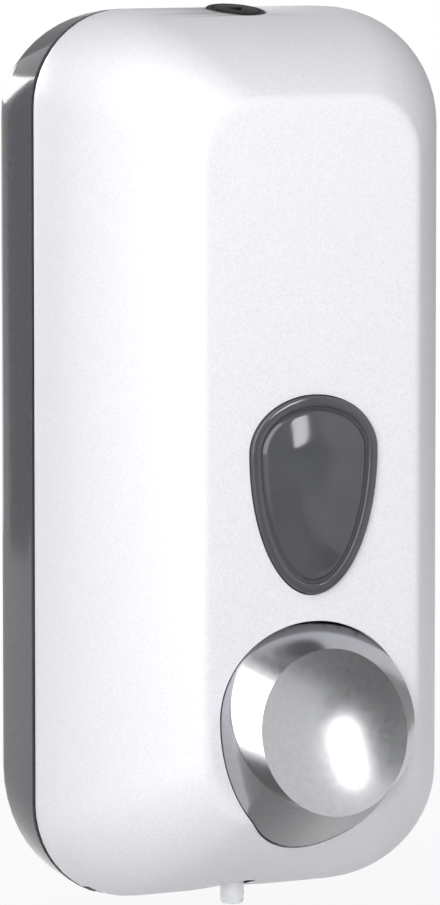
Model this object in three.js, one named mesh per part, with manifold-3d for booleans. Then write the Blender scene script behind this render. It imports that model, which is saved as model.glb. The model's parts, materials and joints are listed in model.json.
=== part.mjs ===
// A wall soap dispenser: a tank and a push pump on a back shell, under a front cover that swings down.
// Millimetres, X to the right, Y towards the wall, Z up. The origin is the middle of the back face.
// Inside the assembly, depths are measured forward from the wall and heights up from the lower edge.
import * as THREE from "three";
import { mergeVertices } from "three/addons/utils/BufferGeometryUtils.js";
import Module from "manifold-3d";

const wasm = await Module();
wasm.setup();

// Casing outline
const bodyWidth = 102;
const bodyHeight = 216;
const seamDepth = 15.6;
const seamGap = 0.7;
const panelDepth = 62.3;
const panelHalfWidth = 29.2;
const panelTopDrop = 20.1;
const panelBottom = 23.5;
const sideCrownStart = 19.6;
const topCrownStart = 19.1;
const bottomCrownStart = 10.9;
const seamCornerTop = new THREE.Vector2(23.9, 23.4);
const seamCornerBottom = new THREE.Vector2(25.1, 24);
const panelCorner = new THREE.Vector2(15, 15);
const backCornerTop = new THREE.Vector2(31.8, 25.1);
const backCornerBottom = new THREE.Vector2(30.7, 32.4);
const backFlare = 0.5;
const backTopDrop = 0.7;
const coverWall = 2.2;
const coverEdgeRound = 1.2;
const shellWall = 2.2;
const shellFloor = 2.4;
const shellEdgeRound = 0.9;
const lipReach = 2.4;
const lipThickness = 1.3;

// Clearances
const seatGap = 0.3;
const pinClearance = 0.1;
const cutOverrun = 3;
const weldDistance = 0.0005;

// Cover hinge along the lower edge
const hingeDepth = 16.7;
const hingeHeight = 3.25;
const knuckleRadius = 3.05;
const knuckleGap = 0.45;
const hingePinRadius = 1.4;
const hingePinLength = 15;
const innerKnuckleHalfLength = 18;
const coverKnuckleLength = 4.5;
const hingeReliefHalfWidth = 38.5;
const hingeArmReach = 12;
const hingeArmHeight = 6.5;

// Button and its opening: an egg outline, rounder above than below
const openingHalfWidth = 25.6;
const openingCentre = 48.6;
const openingAbove = 22.4;
const openingBelow = 33;
const buttonGap = 0.35;
const buttonWall = 2;
const buttonBackDepth = 46;
const creaseHalfWidth = 25.1;
const creaseHalfHeight = 22.2;
const creaseDepth = 67.7;
const creaseSlopeShare = 0.3;
const chinLift = 0.4;
const rimRadius = 20;
const rimCentreHeight = 45.4;
const rimCentreDepth = 72.6;
const rimTilt = THREE.MathUtils.degToRad(9.6);
const dishHollow = 2.7;
const pivotDepth = 56;
const pivotHeight = 66;
const pivotPinRadius = 1.4;
const pivotBarRadius = 2.4;
const pivotBarHalfLength = 20;
const pivotPinInset = 5;
const earThickness = 3.2;
const earHeight = 7;
const carrierBackDepth = 54.5;
const carrierThickness = 2.5;
const noseRadius = 3.5;
const carrierScrewSpread = 12;
const carrierScrewHeight = 52;
const carrierBossRadius = 3;
const carrierBossDepth = 8;

// Sill round the lower edge of the button's opening, and the shallow scoop in the crown under it
const sillInset = 0.3;
const sillWidth = 2.6;
const sillRise = 1.9;
const sillRoot = 1;
const sillSink = 0.15;
const sillHalfAngle = THREE.MathUtils.degToRad(38);
const scoopDeep = 1.1;
const scoopHalfWidth = 15;
const scoopMiddle = 34;
const scoopHalfLength = 16.5;

// Small screws
const screwRadius = 1.2;
const screwHeadRadius = 2.5;
const screwHeadHeight = 1.6;
const driveRadius = 1.1;
const driveDepth = 0.9;

// Window
const windowHalfWidth = 17.65;
const windowMiddle = 111.7;
const windowAbove = 13.6;
const windowBelow = 34.5;
const lensFlange = 2.3;
const lensFlangeThickness = 1.4;
const lensWall = 1.6;
const lensRimRise = 1.1;
const lensRimWidth = 2.6;
const lensGroove = 0.8;
const lensCrown = 2.3;
const gasketThickness = 0.6;
const retainerThickness = 1.8;
const retainerWidth = 3.6;
const retainerBossOffset = 5.2;
const retainerBossRadius = 2.4;
const retainerLobeRadius = 3.3;

// Lock on the top of the cover
const lockDepth = 24.7;
const lockFaceDrop = 1.1;
const lockTilt = THREE.MathUtils.degToRad(10.5);
const collarRadius = 7.4;
const collarRise = 1;
const collarTubeRadius = 5.2;
const collarTubeLength = 8.6;
const collarSeat = 0.9;
const nutRadius = 7.6;
const nutHeight = 2.4;
const barrelFaceRadius = 5.6;
const barrelRadius = 3.6;
const barrelFaceRise = 0.7;
const keySlotDepth = 1.1;
const keySlotRadius = 2.6;
const camThickness = 1.5;
const camReach = 13.4;
const camHalfWidth = 3.4;
const camToeReach = 8.5;
const camToeWidth = 2.3;
const keeperThickness = 1.5;
const keeperWidth = 6.5;
const keeperDrop = 11;

// Tank
const tankClearance = 0.6;
const tankWall = 2;
const tankBackDepth = 7;
const tankFrontGap = 0.5;
const tankBottom = 60;
const tankTopRoom = 32;
const tankTop = bodyHeight - tankTopRoom;
const tankSlopeDepth = 34;
const tankSlopeTop = 84;
const tankEdgeCut = 5;
const neckDepth = 15;
const neckRadius = 9.5;
const neckWall = 2.2;
const neckLength = 9.5;
const sealThickness = 1.3;
const shelfSpread = 31;
const shelfThickness = 3;
const shelfReach = 24;
const shelfHeight = 14;

// Filler mouth and lid
const mouthHalfWidth = 19;
const mouthBack = 11.2;
const mouthFront = 21.7;
const mouthRimHeight = 2;
const mouthRimWidth = 1.8;
const lidHingeDepth = 8.8;
const lidHingeRise = 3.7;
const lidHinge = new THREE.Vector2(lidHingeDepth, tankTop + lidHingeRise);
const lidPinRadius = 1;
const lidKnuckleRadius = 1.9;
const lidThickness = 1.8;
const lidOverhang = 1.2;
const lidPlugDepth = 1.3;
const lidPlugInset = 1;
const lidEarThickness = 2.6;

// Pump
const pumpHeight = 34;
const pumpOuterRadius = 10;
const pumpBoreRadius = 8;
const pumpBackDepth = 6;
const pumpEndWall = 3;
const pumpFrontDepth = 40;
const inletSpigotRadius = 6.8;
const inletBoreRadius = 4.4;
const inletTop = 57.5;
const inletPocketRadius = 3.9;
const inletPocketTop = 45;
const inletSeatRadius = 2;
const inletSeatThickness = 1.5;
const pumpFlangeRadius = 12;
const pumpFlangeTop = 48.6;
const pumpFlangeThickness = 2.2;
const ringRadius = 11.8;
const ringHeight = 7;
const ringGripCount = 12;
const ringGripRadius = 1.1;
const outletDepth = 23;
const outletRadius = 5;
const outletBoreRadius = 3.3;
const outletPortRadius = 2;
const outletEnd = 9;
const pumpEarSpread = 15.5;
const pumpEarRadius = 4;
const pumpEarBackDepth = 27.3;
const pumpEarThickness = 2.5;
const postRadius = 3.2;
const saddleHalfWidth = 13;
const saddleReach = 9.5;
const saddleBottom = 17;
const glandLength = 3.2;
const glandSkirtLength = 5;
const glandRadius = 11.6;
const glandThreadDepth = 0.9;
const rodSealThickness = 1.2;
const rodSealRadius = 5.6;
const rodRadius = 3.4;
const headRadius = 7;
const headThickness = 2.2;
const pistonBackDepth = 33.6;
const pistonLength = 4.6;
const pistonRadius = 7.2;
const pistonGrooveRadius = 5.4;
const pistonGrooveLength = 2;
const springMeanRadius = 5;
const springWireRadius = 0.6;
const springTurns = 6;
const valveDiscRadius = 3.4;
const valveDiscThickness = 0.8;
const valveStemRadius = 1.2;
const valveBulbRadius = 1.6;
const nozzleRadius = 2.9;
const nozzleBoreRadius = 1.7;
const nozzleTip = -2.9;
const nozzleTipRound = 1;
const nozzleFlangeThickness = 1.4;
const nozzleSpigotLength = 3.4;
const duckbillFlange = 1;
const duckbillLength = 4;
const duckbillTipRadius = 0.7;

// Wall fixing: two keyhole slots above and two round holes below
const wallHoleSpread = 30;
const keyholeDrop = 44;
const wallHoleHigh = bodyHeight - keyholeDrop;
const wallHoleLow = 44;
const wallHoleRadius = 2.6;
const keyholeRadius = 4.8;
const keyholeTravel = 8;

// Facets
const cornerSteps = 5;
const crownSteps = 7;
const eggSteps = 36;
const scoopSteps = 8;
const turnSteps = 20;
const smallTurnSteps = 12;

const ACROSS = new THREE.Matrix4().makeBasis(
  new THREE.Vector3(0, 1, 0),
  new THREE.Vector3(0, 0, 1),
  new THREE.Vector3(1, 0, 0),
);

// A closed geometry as a solid with its faces turned outwards.
function solidFrom(geometry) {
  const bare = new THREE.BufferGeometry();
  const loose = geometry.index ? geometry.toNonIndexed() : geometry;
  bare.setAttribute("position", loose.getAttribute("position").clone());
  const welded = mergeVertices(bare, weldDistance);
  const corners = welded.index.array;
  const kept = [];
  for (let i = 0; i < corners.length; i += 3) {
    const [a, b, c] = [corners[i], corners[i + 1], corners[i + 2]];
    if (a !== b && b !== c && c !== a) kept.push(a, b, c);
  }
  const build = (triangles) =>
    new wasm.Manifold(
      new wasm.Mesh({
        numProp: 3,
        vertProperties: new Float32Array(welded.attributes.position.array),
        triVerts: new Uint32Array(triangles),
      }),
    );
  const solid = build(kept);
  if (solid.volume() > 0) return solid;
  const turned = [];
  for (let i = 0; i < kept.length; i += 3) turned.push(kept[i], kept[i + 2], kept[i + 1]);
  return build(turned);
}

const join = (first, ...rest) => rest.reduce((whole, piece) => whole.add(piece), first);
const cut = (first, ...tools) => tools.reduce((whole, tool) => whole.subtract(tool), first);

function geometryOf(solid) {
  const { numProp, numVert, vertProperties, triVerts } = solid.getMesh();
  const points = new Float32Array(3 * numVert);
  for (let i = 0; i < numVert; i++) points.set(vertProperties.subarray(i * numProp, i * numProp + 3), 3 * i);
  const geometry = new THREE.BufferGeometry();
  geometry.setAttribute("position", new THREE.BufferAttribute(points, 3));
  geometry.setIndex(new THREE.BufferAttribute(triVerts, 1));
  geometry.computeVertexNormals();
  return geometry;
}

// A solid through rings of equally many points, each end closed by a fan to its middle.
function loft(rings) {
  const count = rings[0].length;
  const points = rings.flat();
  const middle = (ring) => ring.reduce((sum, p) => sum.add(p), new THREE.Vector3()).divideScalar(count);
  points.push(middle(rings[0]), middle(rings.at(-1)));
  const firstMiddle = points.length - 2;
  const lastMiddle = points.length - 1;
  const lastStart = (rings.length - 1) * count;
  const index = [];
  for (let i = 0; i < count; i++) {
    const next = (i + 1) % count;
    for (let r = 0; r < rings.length - 1; r++) {
      const [here, there] = [r * count, (r + 1) * count];
      index.push(here + i, here + next, there + next, here + i, there + next, there + i);
    }
    index.push(firstMiddle, next, i, lastMiddle, lastStart + i, lastStart + next);
  }
  const geometry = new THREE.BufferGeometry().setFromPoints(points);
  geometry.setIndex(index);
  return solidFrom(geometry);
}

// An outline of (x, height) points set at one depth, or at a depth worked out for each point.
function atDepth(outline, depth) {
  const depthAt = typeof depth === "function" ? depth : () => depth;
  return outline.map(({ x, y }) => new THREE.Vector3(x, -depthAt(x, y), y));
}

const slab = (outline, from, to) => loft([atDepth(outline, from), atDepth(outline, to)]);

function block(x0, x1, depth0, depth1, height0, height1) {
  const geometry = new THREE.BoxGeometry(x1 - x0, depth1 - depth0, height1 - height0);
  geometry.translate((x0 + x1) / 2, -(depth0 + depth1) / 2, (height0 + height1) / 2);
  return solidFrom(geometry);
}

// A profile of (radius, position) pairs turned round an axis along the depth, the height or the width.
function turned(profile, steps = turnSteps) {
  return new THREE.LatheGeometry(profile.map(([r, along]) => new THREE.Vector2(r, along)), steps);
}
function turnedAlongDepth(profile, x, height, steps) {
  const forward = profile.map(([r, depth]) => [r, -depth]);
  return solidFrom(turned(forward, steps).translate(x, 0, height));
}
function turnedAlongHeight(profile, x, depth, steps) {
  return solidFrom(turned(profile, steps).rotateX(Math.PI / 2).translate(x, -depth, 0));
}
function turnedAlongWidth(profile, depth, height, steps) {
  return solidFrom(turned(profile, steps).rotateZ(-Math.PI / 2).translate(0, -depth, height));
}
const rodProfile = (radius, from, to) => [
  [0, from],
  [radius, from],
  [radius, to],
  [0, to],
];
const tubeProfile = (outer, inner, from, to) => [
  [inner, from],
  [outer, from],
  [outer, to],
  [inner, to],
  [inner, from],
];

// A side view of (depth, height) points carried across the width.
function carriedAcross(points, x0, x1) {
  const shape = new THREE.Shape(points.map(([depth, height]) => new THREE.Vector2(-depth, height)));
  const geometry = new THREE.ExtrudeGeometry(shape, { depth: x1 - x0, bevelEnabled: false });
  return solidFrom(geometry.applyMatrix4(ACROSS).translate(x0, 0, 0));
}

// How far a crowned wall has drawn in at one depth: an arc that starts at right angles to the wall.
function crownDrop(depth, start, end, total) {
  const run = end - start;
  const radius = (run * run + total * total) / (2 * total);
  const gone = THREE.MathUtils.clamp(depth - start, 0, run);
  return radius - Math.sqrt(radius * radius - gone * gone);
}

// A rectangle with elliptical corners, from the upper right corner round by the left.
function roundedOutline(halfWidth, low, high, topCorner, bottomCorner) {
  const corners = [
    [halfWidth - topCorner.x, high - topCorner.y, topCorner, 0],
    [topCorner.x - halfWidth, high - topCorner.y, topCorner, 1],
    [bottomCorner.x - halfWidth, low + bottomCorner.y, bottomCorner, 2],
    [halfWidth - bottomCorner.x, low + bottomCorner.y, bottomCorner, 3],
  ];
  return corners.flatMap(([x, height, radius, quarter]) =>
    Array.from({ length: cornerSteps + 1 }, (_, i) => {
      const angle = (quarter + i / cornerSteps) * (Math.PI / 2);
      return new THREE.Vector2(x + radius.x * Math.cos(angle), height + radius.y * Math.sin(angle));
    }),
  );
}

// The cover's outline at one depth, drawn in by offset on every side.
function coverOutline(depth, offset) {
  const front = panelDepth - offset;
  const sideTotal = bodyWidth / 2 - panelHalfWidth;
  const side = crownDrop(depth, sideCrownStart, front, sideTotal);
  const above = crownDrop(depth, topCrownStart, front, panelTopDrop);
  const below = crownDrop(depth, bottomCrownStart, front, panelBottom);
  const corner = (seamCorner) => {
    const radius = seamCorner.clone().lerp(panelCorner, side / sideTotal);
    return radius.subScalar(offset);
  };
  const low = offset + below;
  const high = bodyHeight - offset - above;
  return roundedOutline(bodyWidth / 2 - offset - side, low, high, corner(seamCornerTop), corner(seamCornerBottom));
}

function coverForm(offset, from, to) {
  const rings = [];
  for (let i = 0; i <= crownSteps; i++) {
    const depth = from + ((to - from) * i) / crownSteps;
    rings.push(atDepth(coverOutline(depth, offset), depth));
  }
  return loft(rings);
}

// The back shell's outline, from its wider, rounder back edge to the seam.
function shellOutline(depth, offset) {
  const share = depth / seamDepth;
  const seamLow = crownDrop(seamDepth, bottomCrownStart, panelDepth, panelBottom);
  const corner = (back, seam) => back.clone().lerp(seam, share).subScalar(offset);
  const halfWidth = bodyWidth / 2 + backFlare * (1 - share) - offset;
  const low = seamLow * share + offset;
  const high = bodyHeight - backTopDrop * (1 - share) - offset;
  return roundedOutline(
    halfWidth,
    low,
    high,
    corner(backCornerTop, seamCornerTop),
    corner(backCornerBottom, seamCornerBottom),
  );
}

function eggOutline(halfWidth, middle, above, below, offset = 0) {
  return Array.from({ length: eggSteps }, (_, i) => {
    const angle = (i / eggSteps) * 2 * Math.PI;
    const rise = Math.sin(angle) >= 0 ? above + offset : below + offset;
    return new THREE.Vector2((halfWidth + offset) * Math.cos(angle), middle + rise * Math.sin(angle));
  });
}
const openingOutline = (offset) =>
  eggOutline(openingHalfWidth, openingCentre, openingAbove, openingBelow, offset);
const windowOutline = (offset) =>
  eggOutline(windowHalfWidth, windowMiddle, windowAbove, windowBelow, offset);
function windowPoint(angle, offset) {
  const rise = Math.sin(angle) >= 0 ? windowAbove + offset : windowBelow + offset;
  return new THREE.Vector2((windowHalfWidth + offset) * Math.cos(angle), windowMiddle + rise * Math.sin(angle));
}

// A screw seen from its head: the head's face at headDepth, its shank running towards endDepth.
function screwAlongDepth(x, height, headDepth, endDepth) {
  const way = Math.sign(endDepth - headDepth);
  const neck = headDepth + way * screwHeadHeight;
  const solid = turnedAlongDepth(
    [
      [0, headDepth],
      [screwHeadRadius, headDepth],
      [screwHeadRadius, neck],
      [screwRadius, neck],
      [screwRadius, endDepth],
      [0, endDepth],
    ],
    x,
    height,
    smallTurnSteps,
  );
  const drive = turnedAlongDepth(
    rodProfile(driveRadius, headDepth - way * cutOverrun, headDepth + way * driveDepth),
    x,
    height,
    6,
  );
  return cut(solid, drive);
}

// Materials, by what each piece is made of
function finish(color, roughness, metalness = 0) {
  return new THREE.MeshStandardMaterial({ color, roughness, metalness });
}
const FINISHES = {
  satinCover: finish(0xdfdfe6, 0.42, 0.35),
  greyShell: finish(0x85868e, 0.22),
  satinChrome: finish(0xb4b6bc, 0.2, 1),
  smokeLens: finish(0x4a4c50, 0.08),
  blackPlastic: finish(0x0c0c0e, 0.35),
  whitePlastic: finish(0xe6e6e2, 0.45),
  clearTank: finish(0xd8dde0, 0.3),
  clearNozzle: finish(0xf0f0f2, 0.25),
  steel: finish(0xa9abae, 0.3, 1),
  rubber: finish(0x1b1b1d, 0.8),
};

const assembly = new THREE.Group();
assembly.position.z = -bodyHeight / 2;

function addPiece(group, name, solid, material) {
  const mesh = new THREE.Mesh(geometryOf(solid), material);
  mesh.name = name;
  group.add(mesh);
  return mesh;
}

// Back shell

const seamFront = seamDepth - seamGap;

function shellTray() {
  const depths = [0, shellEdgeRound, seamFront / 2, seamFront];
  const rounds = [shellEdgeRound, 0, 0, 0];
  const outside = loft(depths.map((depth, i) => atDepth(shellOutline(depth, rounds[i]), depth)));
  const inside = [shellFloor, seamFront / 2, seamFront, seamFront + cutOverrun].map((depth) =>
    atDepth(shellOutline(Math.min(depth, seamDepth), shellWall), depth),
  );
  return cut(outside, loft(inside));
}

// The lip stands inside the cover's edge and is left off along the hinge and round the lock's nut.
function shellLip() {
  const outer = coverWall + seatGap;
  const start = seamFront - lipReach;
  const end = seamDepth + lipReach;
  const ring = cut(
    coverForm(outer, start, end),
    coverForm(outer + lipThickness, start - cutOverrun, end + cutOverrun),
  );
  const gap = hingeReliefHalfWidth;
  const hingeRoom = block(-gap, gap, start - cutOverrun, end + cutOverrun, -cutOverrun, 4 * hingeHeight);
  const nutHalf = nutRadius + coverWall + 2 * seatGap;
  const nutRoom = block(-nutHalf, nutHalf, start - cutOverrun, end + cutOverrun, bodyHeight / 2, bodyHeight);
  return cut(ring, hingeRoom, nutRoom);
}

const knuckle = (x0, x1, radius = knuckleRadius) =>
  turnedAlongWidth(rodProfile(radius, x0, x1), hingeDepth, hingeHeight);

const coverKnuckleStart = innerKnuckleHalfLength + knuckleGap;
const coverKnuckleEnd = coverKnuckleStart + coverKnuckleLength;
const outerKnuckleStart = coverKnuckleEnd + knuckleGap;
const outerKnuckleEnd = hingeReliefHalfWidth - knuckleGap;
const hingePinStart = (coverKnuckleStart + coverKnuckleEnd - hingePinLength) / 2;
const hingePinEnd = hingePinStart + hingePinLength;

function keyhole(x, height) {
  const from = -cutOverrun;
  const to = shellFloor + cutOverrun;
  const round = turnedAlongDepth(rodProfile(keyholeRadius, from, to), x, height, smallTurnSteps);
  const top = turnedAlongDepth(
    rodProfile(wallHoleRadius, from, to),
    x,
    height + keyholeTravel,
    smallTurnSteps,
  );
  const slot = block(x - wallHoleRadius, x + wallHoleRadius, from, to, height, height + keyholeTravel);
  return join(round, top, slot);
}

function tankShelf(x) {
  const top = tankBottom - seatGap;
  const root = shellFloor / 2;
  return carriedAcross(
    [
      [root, top],
      [root, top - shelfHeight],
      [shelfReach, top - shelfHeight / 4],
      [shelfReach, top],
    ],
    x - shelfThickness / 2,
    x + shelfThickness / 2,
  );
}

function pumpPost(x) {
  return turnedAlongDepth(rodProfile(postRadius, shellFloor / 2, pumpEarBackDepth - seatGap), x, pumpHeight);
}

function pumpSaddle() {
  const root = shellFloor / 2;
  const front = shellFloor + saddleReach;
  const body = block(-saddleHalfWidth, saddleHalfWidth, root, front, saddleBottom, pumpHeight);
  const bed = turnedAlongDepth(
    rodProfile(pumpOuterRadius + seatGap, pumpBackDepth - seatGap, front + cutOverrun),
    0,
    pumpHeight,
  );
  return cut(body, bed);
}

// The keeper hangs from the shell's roof, and the lock's toe turns in behind it.
function lockKeeper() {
  const roof = bodyHeight - shellWall / 2;
  const front = seamFront - seatGap;
  const left = camHalfWidth + 2 * seatGap;
  return block(left, left + keeperWidth, front - keeperThickness, front, roof - keeperDrop, roof - backTopDrop);
}

// Nothing of the shell stands out past the casing's own outline, where the outer knuckles meet the corners.
function casingLimit() {
  const front = Math.max(pumpEarBackDepth, shelfReach) + cutOverrun;
  const behind = loft([0, seamFront].map((depth) => atDepth(shellOutline(depth, 0), depth)));
  const ahead = loft([seamFront, front].map((depth) => atDepth(coverOutline(depth, 0), depth)));
  return join(behind, ahead);
}

// A rebate along the shell's lower edge takes the cover's edge once it has swung right down.
function hingeRebate() {
  const half = hingeReliefHalfWidth;
  const back = hingeDepth - hingeHeight;
  return block(-half, half, back, seamFront + cutOverrun, -cutOverrun, knuckleRadius / 2);
}

function makeBackShell() {
  let shell = cut(join(shellTray(), shellLip()), hingeRebate());
  for (const side of [-1, 1]) {
    const ends = [side * outerKnuckleStart, side * outerKnuckleEnd].sort((a, b) => a - b);
    shell = join(shell, knuckle(...ends), pumpPost(side * pumpEarSpread), tankShelf(side * shelfSpread));
  }
  shell = join(shell, knuckle(-innerKnuckleHalfLength, innerKnuckleHalfLength), pumpSaddle(), lockKeeper());
  shell = shell.intersect(casingLimit());
  for (const side of [-1, 1]) {
    const room = [side * (coverKnuckleStart - knuckleGap), side * (coverKnuckleEnd + knuckleGap)];
    room.sort((a, b) => a - b);
    const pin = [side * (hingePinStart - seatGap), side * (hingePinEnd + seatGap)].sort((a, b) => a - b);
    const lowHole = turnedAlongDepth(
      rodProfile(wallHoleRadius, -cutOverrun, shellFloor + cutOverrun),
      side * wallHoleSpread,
      wallHoleLow,
      smallTurnSteps,
    );
    const screwHole = turnedAlongDepth(
      rodProfile(screwRadius + seatGap, shellFloor + cutOverrun, pumpEarBackDepth + cutOverrun),
      side * pumpEarSpread,
      pumpHeight,
      smallTurnSteps,
    );
    shell = cut(
      shell,
      knuckle(...room, knuckleRadius + knuckleGap),
      knuckle(...pin, hingePinRadius + pinClearance),
      keyhole(side * wallHoleSpread, wallHoleHigh),
      lowHole,
      screwHole,
    );
  }
  return shell;
}

// Front cover

function coverShell() {
  const rings = [atDepth(coverOutline(seamDepth, coverEdgeRound / 2), seamDepth)];
  const start = seamDepth + coverEdgeRound;
  for (let i = 0; i <= crownSteps; i++) {
    const depth = start + ((panelDepth - start) * i) / crownSteps;
    rings.push(atDepth(coverOutline(depth, 0), depth));
  }
  const inside = coverForm(coverWall, seamDepth - cutOverrun, panelDepth - coverWall);
  return cut(loft(rings), inside);
}

// The lower wall stops short of the hinge, and a slot lets the nozzle through as the cover swings.
function coverRelief() {
  const reach = knuckleRadius + knuckleGap;
  const half = hingeReliefHalfWidth;
  const behind = block(-half, half, seamDepth - cutOverrun, hingeDepth, -cutOverrun, hingeHeight + reach);
  const round = knuckle(-half, half, reach);
  const nozzleFront = outletDepth + nozzleRadius - hingeDepth;
  const slotReach = Math.hypot(nozzleFront, hingeHeight - nozzleTip) + 2 * knuckleGap;
  const slotHalf = nozzleRadius + 2 * knuckleGap;
  const slot = block(-slotHalf, slotHalf, hingeDepth, hingeDepth + slotReach, -cutOverrun, 2 * hingeHeight);
  return join(behind, round, slot);
}

function coverHingeArm(side) {
  const eye = [side * coverKnuckleStart, side * coverKnuckleEnd].sort((a, b) => a - b);
  const arm = carriedAcross(
    [
      [hingeDepth, hingeHeight - knuckleRadius / 2],
      [hingeDepth + hingeArmReach, hingeHeight],
      [hingeDepth + hingeArmReach, hingeHeight + hingeArmHeight],
      [hingeDepth, hingeHeight + knuckleRadius],
    ],
    ...eye,
  );
  return join(knuckle(...eye), arm);
}

const insideFace = panelDepth - coverWall;

function buttonEar(side) {
  const start = side * (pivotBarHalfLength + seatGap);
  const ends = [start, start + side * earThickness].sort((a, b) => a - b);
  const root = insideFace + coverWall / 2;
  const back = pivotDepth - earHeight / 2;
  const half = earHeight / 2;
  return carriedAcross(
    [
      [root, pivotHeight - half],
      [root, pivotHeight + half],
      [back + half / 2, pivotHeight + half],
      [back, pivotHeight + half / 2],
      [back, pivotHeight - half / 2],
      [back + half / 2, pivotHeight - half],
    ],
    ...ends,
  );
}
const buttonPinEnd = pivotBarHalfLength + seatGap + earThickness + seatGap;

const retainerAngles = [32, 148, 213, 327].map(THREE.MathUtils.degToRad);
const flangeFront = insideFace - gasketThickness - 2 * seatGap;
const flangeBack = flangeFront - lensFlangeThickness;
const retainerFront = flangeBack - seatGap;
const retainerBack = retainerFront - retainerThickness;
const tankFrontDepth = retainerBack - seatGap - screwHeadHeight - tankFrontGap;

// The lock's own frame: Z out of its face, turned forward with the slope of the cover.
const lockPlace = new THREE.Group();
lockPlace.position.set(0, -lockDepth, bodyHeight - lockFaceDrop);
lockPlace.rotation.x = lockTilt;
lockPlace.updateMatrix();
function lockTurned(profile, steps) {
  return solidFrom(turned(profile, steps).rotateX(Math.PI / 2));
}
function lockToolInCover(profile) {
  return solidFrom(turned(profile).rotateX(Math.PI / 2).applyMatrix4(lockPlace.matrix));
}

// A wedge that stands out most under the middle of the button and fades into the crown on either side.
function coverSill() {
  const rings = [];
  for (let i = 0; i <= scoopSteps; i++) {
    const across = (2 * i) / scoopSteps - 1;
    const angle = across * sillHalfAngle - Math.PI / 2;
    const rise = sillRise * (1 - across * across) - sillSink;
    const [inner, outer] = [sillInset, sillInset + sillWidth].map((offset) => {
      const x = (openingHalfWidth + offset) * Math.cos(angle);
      const height = openingCentre + (openingBelow + offset) * Math.sin(angle);
      return new THREE.Vector3(x, -coverDepthAt(x, height), height);
    });
    rings.push([
      inner.clone().setY(inner.y + sillRoot),
      inner.clone().setY(inner.y - rise),
      outer.clone().setY(outer.y + sillSink),
      outer.clone().setY(outer.y + sillRoot),
    ]);
  }
  return loft(rings);
}

// The scoop's surface lies inside the crown by a paraboloid's height, and outside it past its rim.
function coverScoop() {
  const rings = [];
  for (let i = 0; i <= scoopSteps; i++) {
    const across = (2 * i) / scoopSteps - 1;
    const [surface, floor] = [[], []];
    for (let j = 0; j <= scoopSteps; j++) {
      const along = (2 * j) / scoopSteps - 1;
      const [x, depth] = [scoopHalfWidth * across, scoopMiddle + scoopHalfLength * along];
      const deep = scoopDeep * (1 - across * across - along * along);
      const crown = crownDrop(depth, bottomCrownStart, panelDepth, panelBottom);
      surface.push(new THREE.Vector3(x, -depth, crown + deep));
      floor.unshift(new THREE.Vector3(x, -depth, -2 * cutOverrun));
    }
    rings.push([...surface, ...floor]);
  }
  return loft(rings);
}

function makeCover() {
  let cover = coverShell();
  const window = slab(windowOutline(0), insideFace - cutOverrun, panelDepth + cutOverrun);
  const opening = slab(openingOutline(0), buttonBackDepth, panelDepth + cutOverrun);
  const lockHole = lockToolInCover(
    rodProfile(collarTubeRadius + seatGap, -collarTubeLength, collarTubeLength),
  );
  const lockSeat = lockToolInCover(rodProfile(collarRadius + seatGap, -collarSeat, collarTubeLength));
  const nutFace = lockToolInCover(
    rodProfile(nutRadius + 2 * seatGap, -collarSeat - coverWall - collarTubeLength, -collarSeat - coverWall),
  );
  cover = join(cover, coverLockBoss(), coverSill());
  cover = cut(cover, window, opening, coverScoop(), lockHole, lockSeat, nutFace, coverRelief());
  for (const side of [-1, 1]) {
    cover = join(cover, coverHingeArm(side), buttonEar(side));
    const pin = [side * (coverKnuckleStart - cutOverrun), side * (coverKnuckleEnd + cutOverrun)];
    pin.sort((a, b) => a - b);
    const pivot = [side * pivotBarHalfLength, side * (buttonPinEnd + cutOverrun)].sort((a, b) => a - b);
    cover = cut(
      cover,
      knuckle(...pin, hingePinRadius + pinClearance),
      turnedAlongWidth(
        rodProfile(pivotPinRadius + pinClearance, ...pivot),
        pivotDepth,
        pivotHeight,
        smallTurnSteps,
      ),
    );
  }
  for (const angle of retainerAngles) {
    const { x, y } = windowPoint(angle, retainerBossOffset);
    const root = insideFace + coverWall / 2;
    const boss = turnedAlongDepth(
      rodProfile(retainerBossRadius, retainerFront + seatGap, root),
      x,
      y,
      smallTurnSteps,
    );
    const hole = turnedAlongDepth(
      rodProfile(screwRadius + seatGap, retainerBack, insideFace - seatGap),
      x,
      y,
      smallTurnSteps,
    );
    cover = cut(join(cover, boss), hole);
  }
  return cover;
}

// A thicker round pad under the lock, so that the nut has a flat face to pull against.
function coverLockBoss() {
  const pad = lockToolInCover(rodProfile(nutRadius + coverWall, -collarSeat - coverWall, 0));
  const within = coverForm(coverWall / 2, seamDepth, panelDepth - coverWall);
  return pad.intersect(within);
}

// Window

function makeLens() {
  const back = flangeBack;
  const rings = [
    [-lensFlange, panelDepth - lensWall],
    [-lensFlange, back],
    [lensFlange, back],
    [lensFlange, flangeFront],
    [-seatGap, flangeFront],
    [-seatGap, panelDepth + lensRimRise / 2],
    [-seatGap - lensRimRise / 2, panelDepth + lensRimRise],
    [-lensRimWidth, panelDepth + lensRimRise],
    [-lensRimWidth - lensGroove / 2, panelDepth + lensRimRise - lensGroove],
    [-lensRimWidth - lensGroove, panelDepth + lensRimRise - lensGroove],
    [-lensRimWidth - 2 * lensGroove, panelDepth + lensRimRise],
  ];
  const start = lensRimWidth + 2 * lensGroove;
  const crownShares = [0.35, 0.7];
  for (const share of crownShares) {
    const offset = -start - share * (windowAbove - start);
    const rise = Math.sin((share * Math.PI) / 2);
    rings.push([offset, panelDepth + lensRimRise + rise * (lensCrown - lensRimRise)]);
  }
  return loft(rings.map(([offset, depth]) => atDepth(windowOutline(offset), depth)));
}

function makeGasket() {
  const from = flangeFront + seatGap;
  const to = from + gasketThickness;
  const outside = slab(windowOutline(lensFlange), from, to);
  return cut(outside, slab(windowOutline(seatGap), from - cutOverrun, to + cutOverrun));
}

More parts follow.
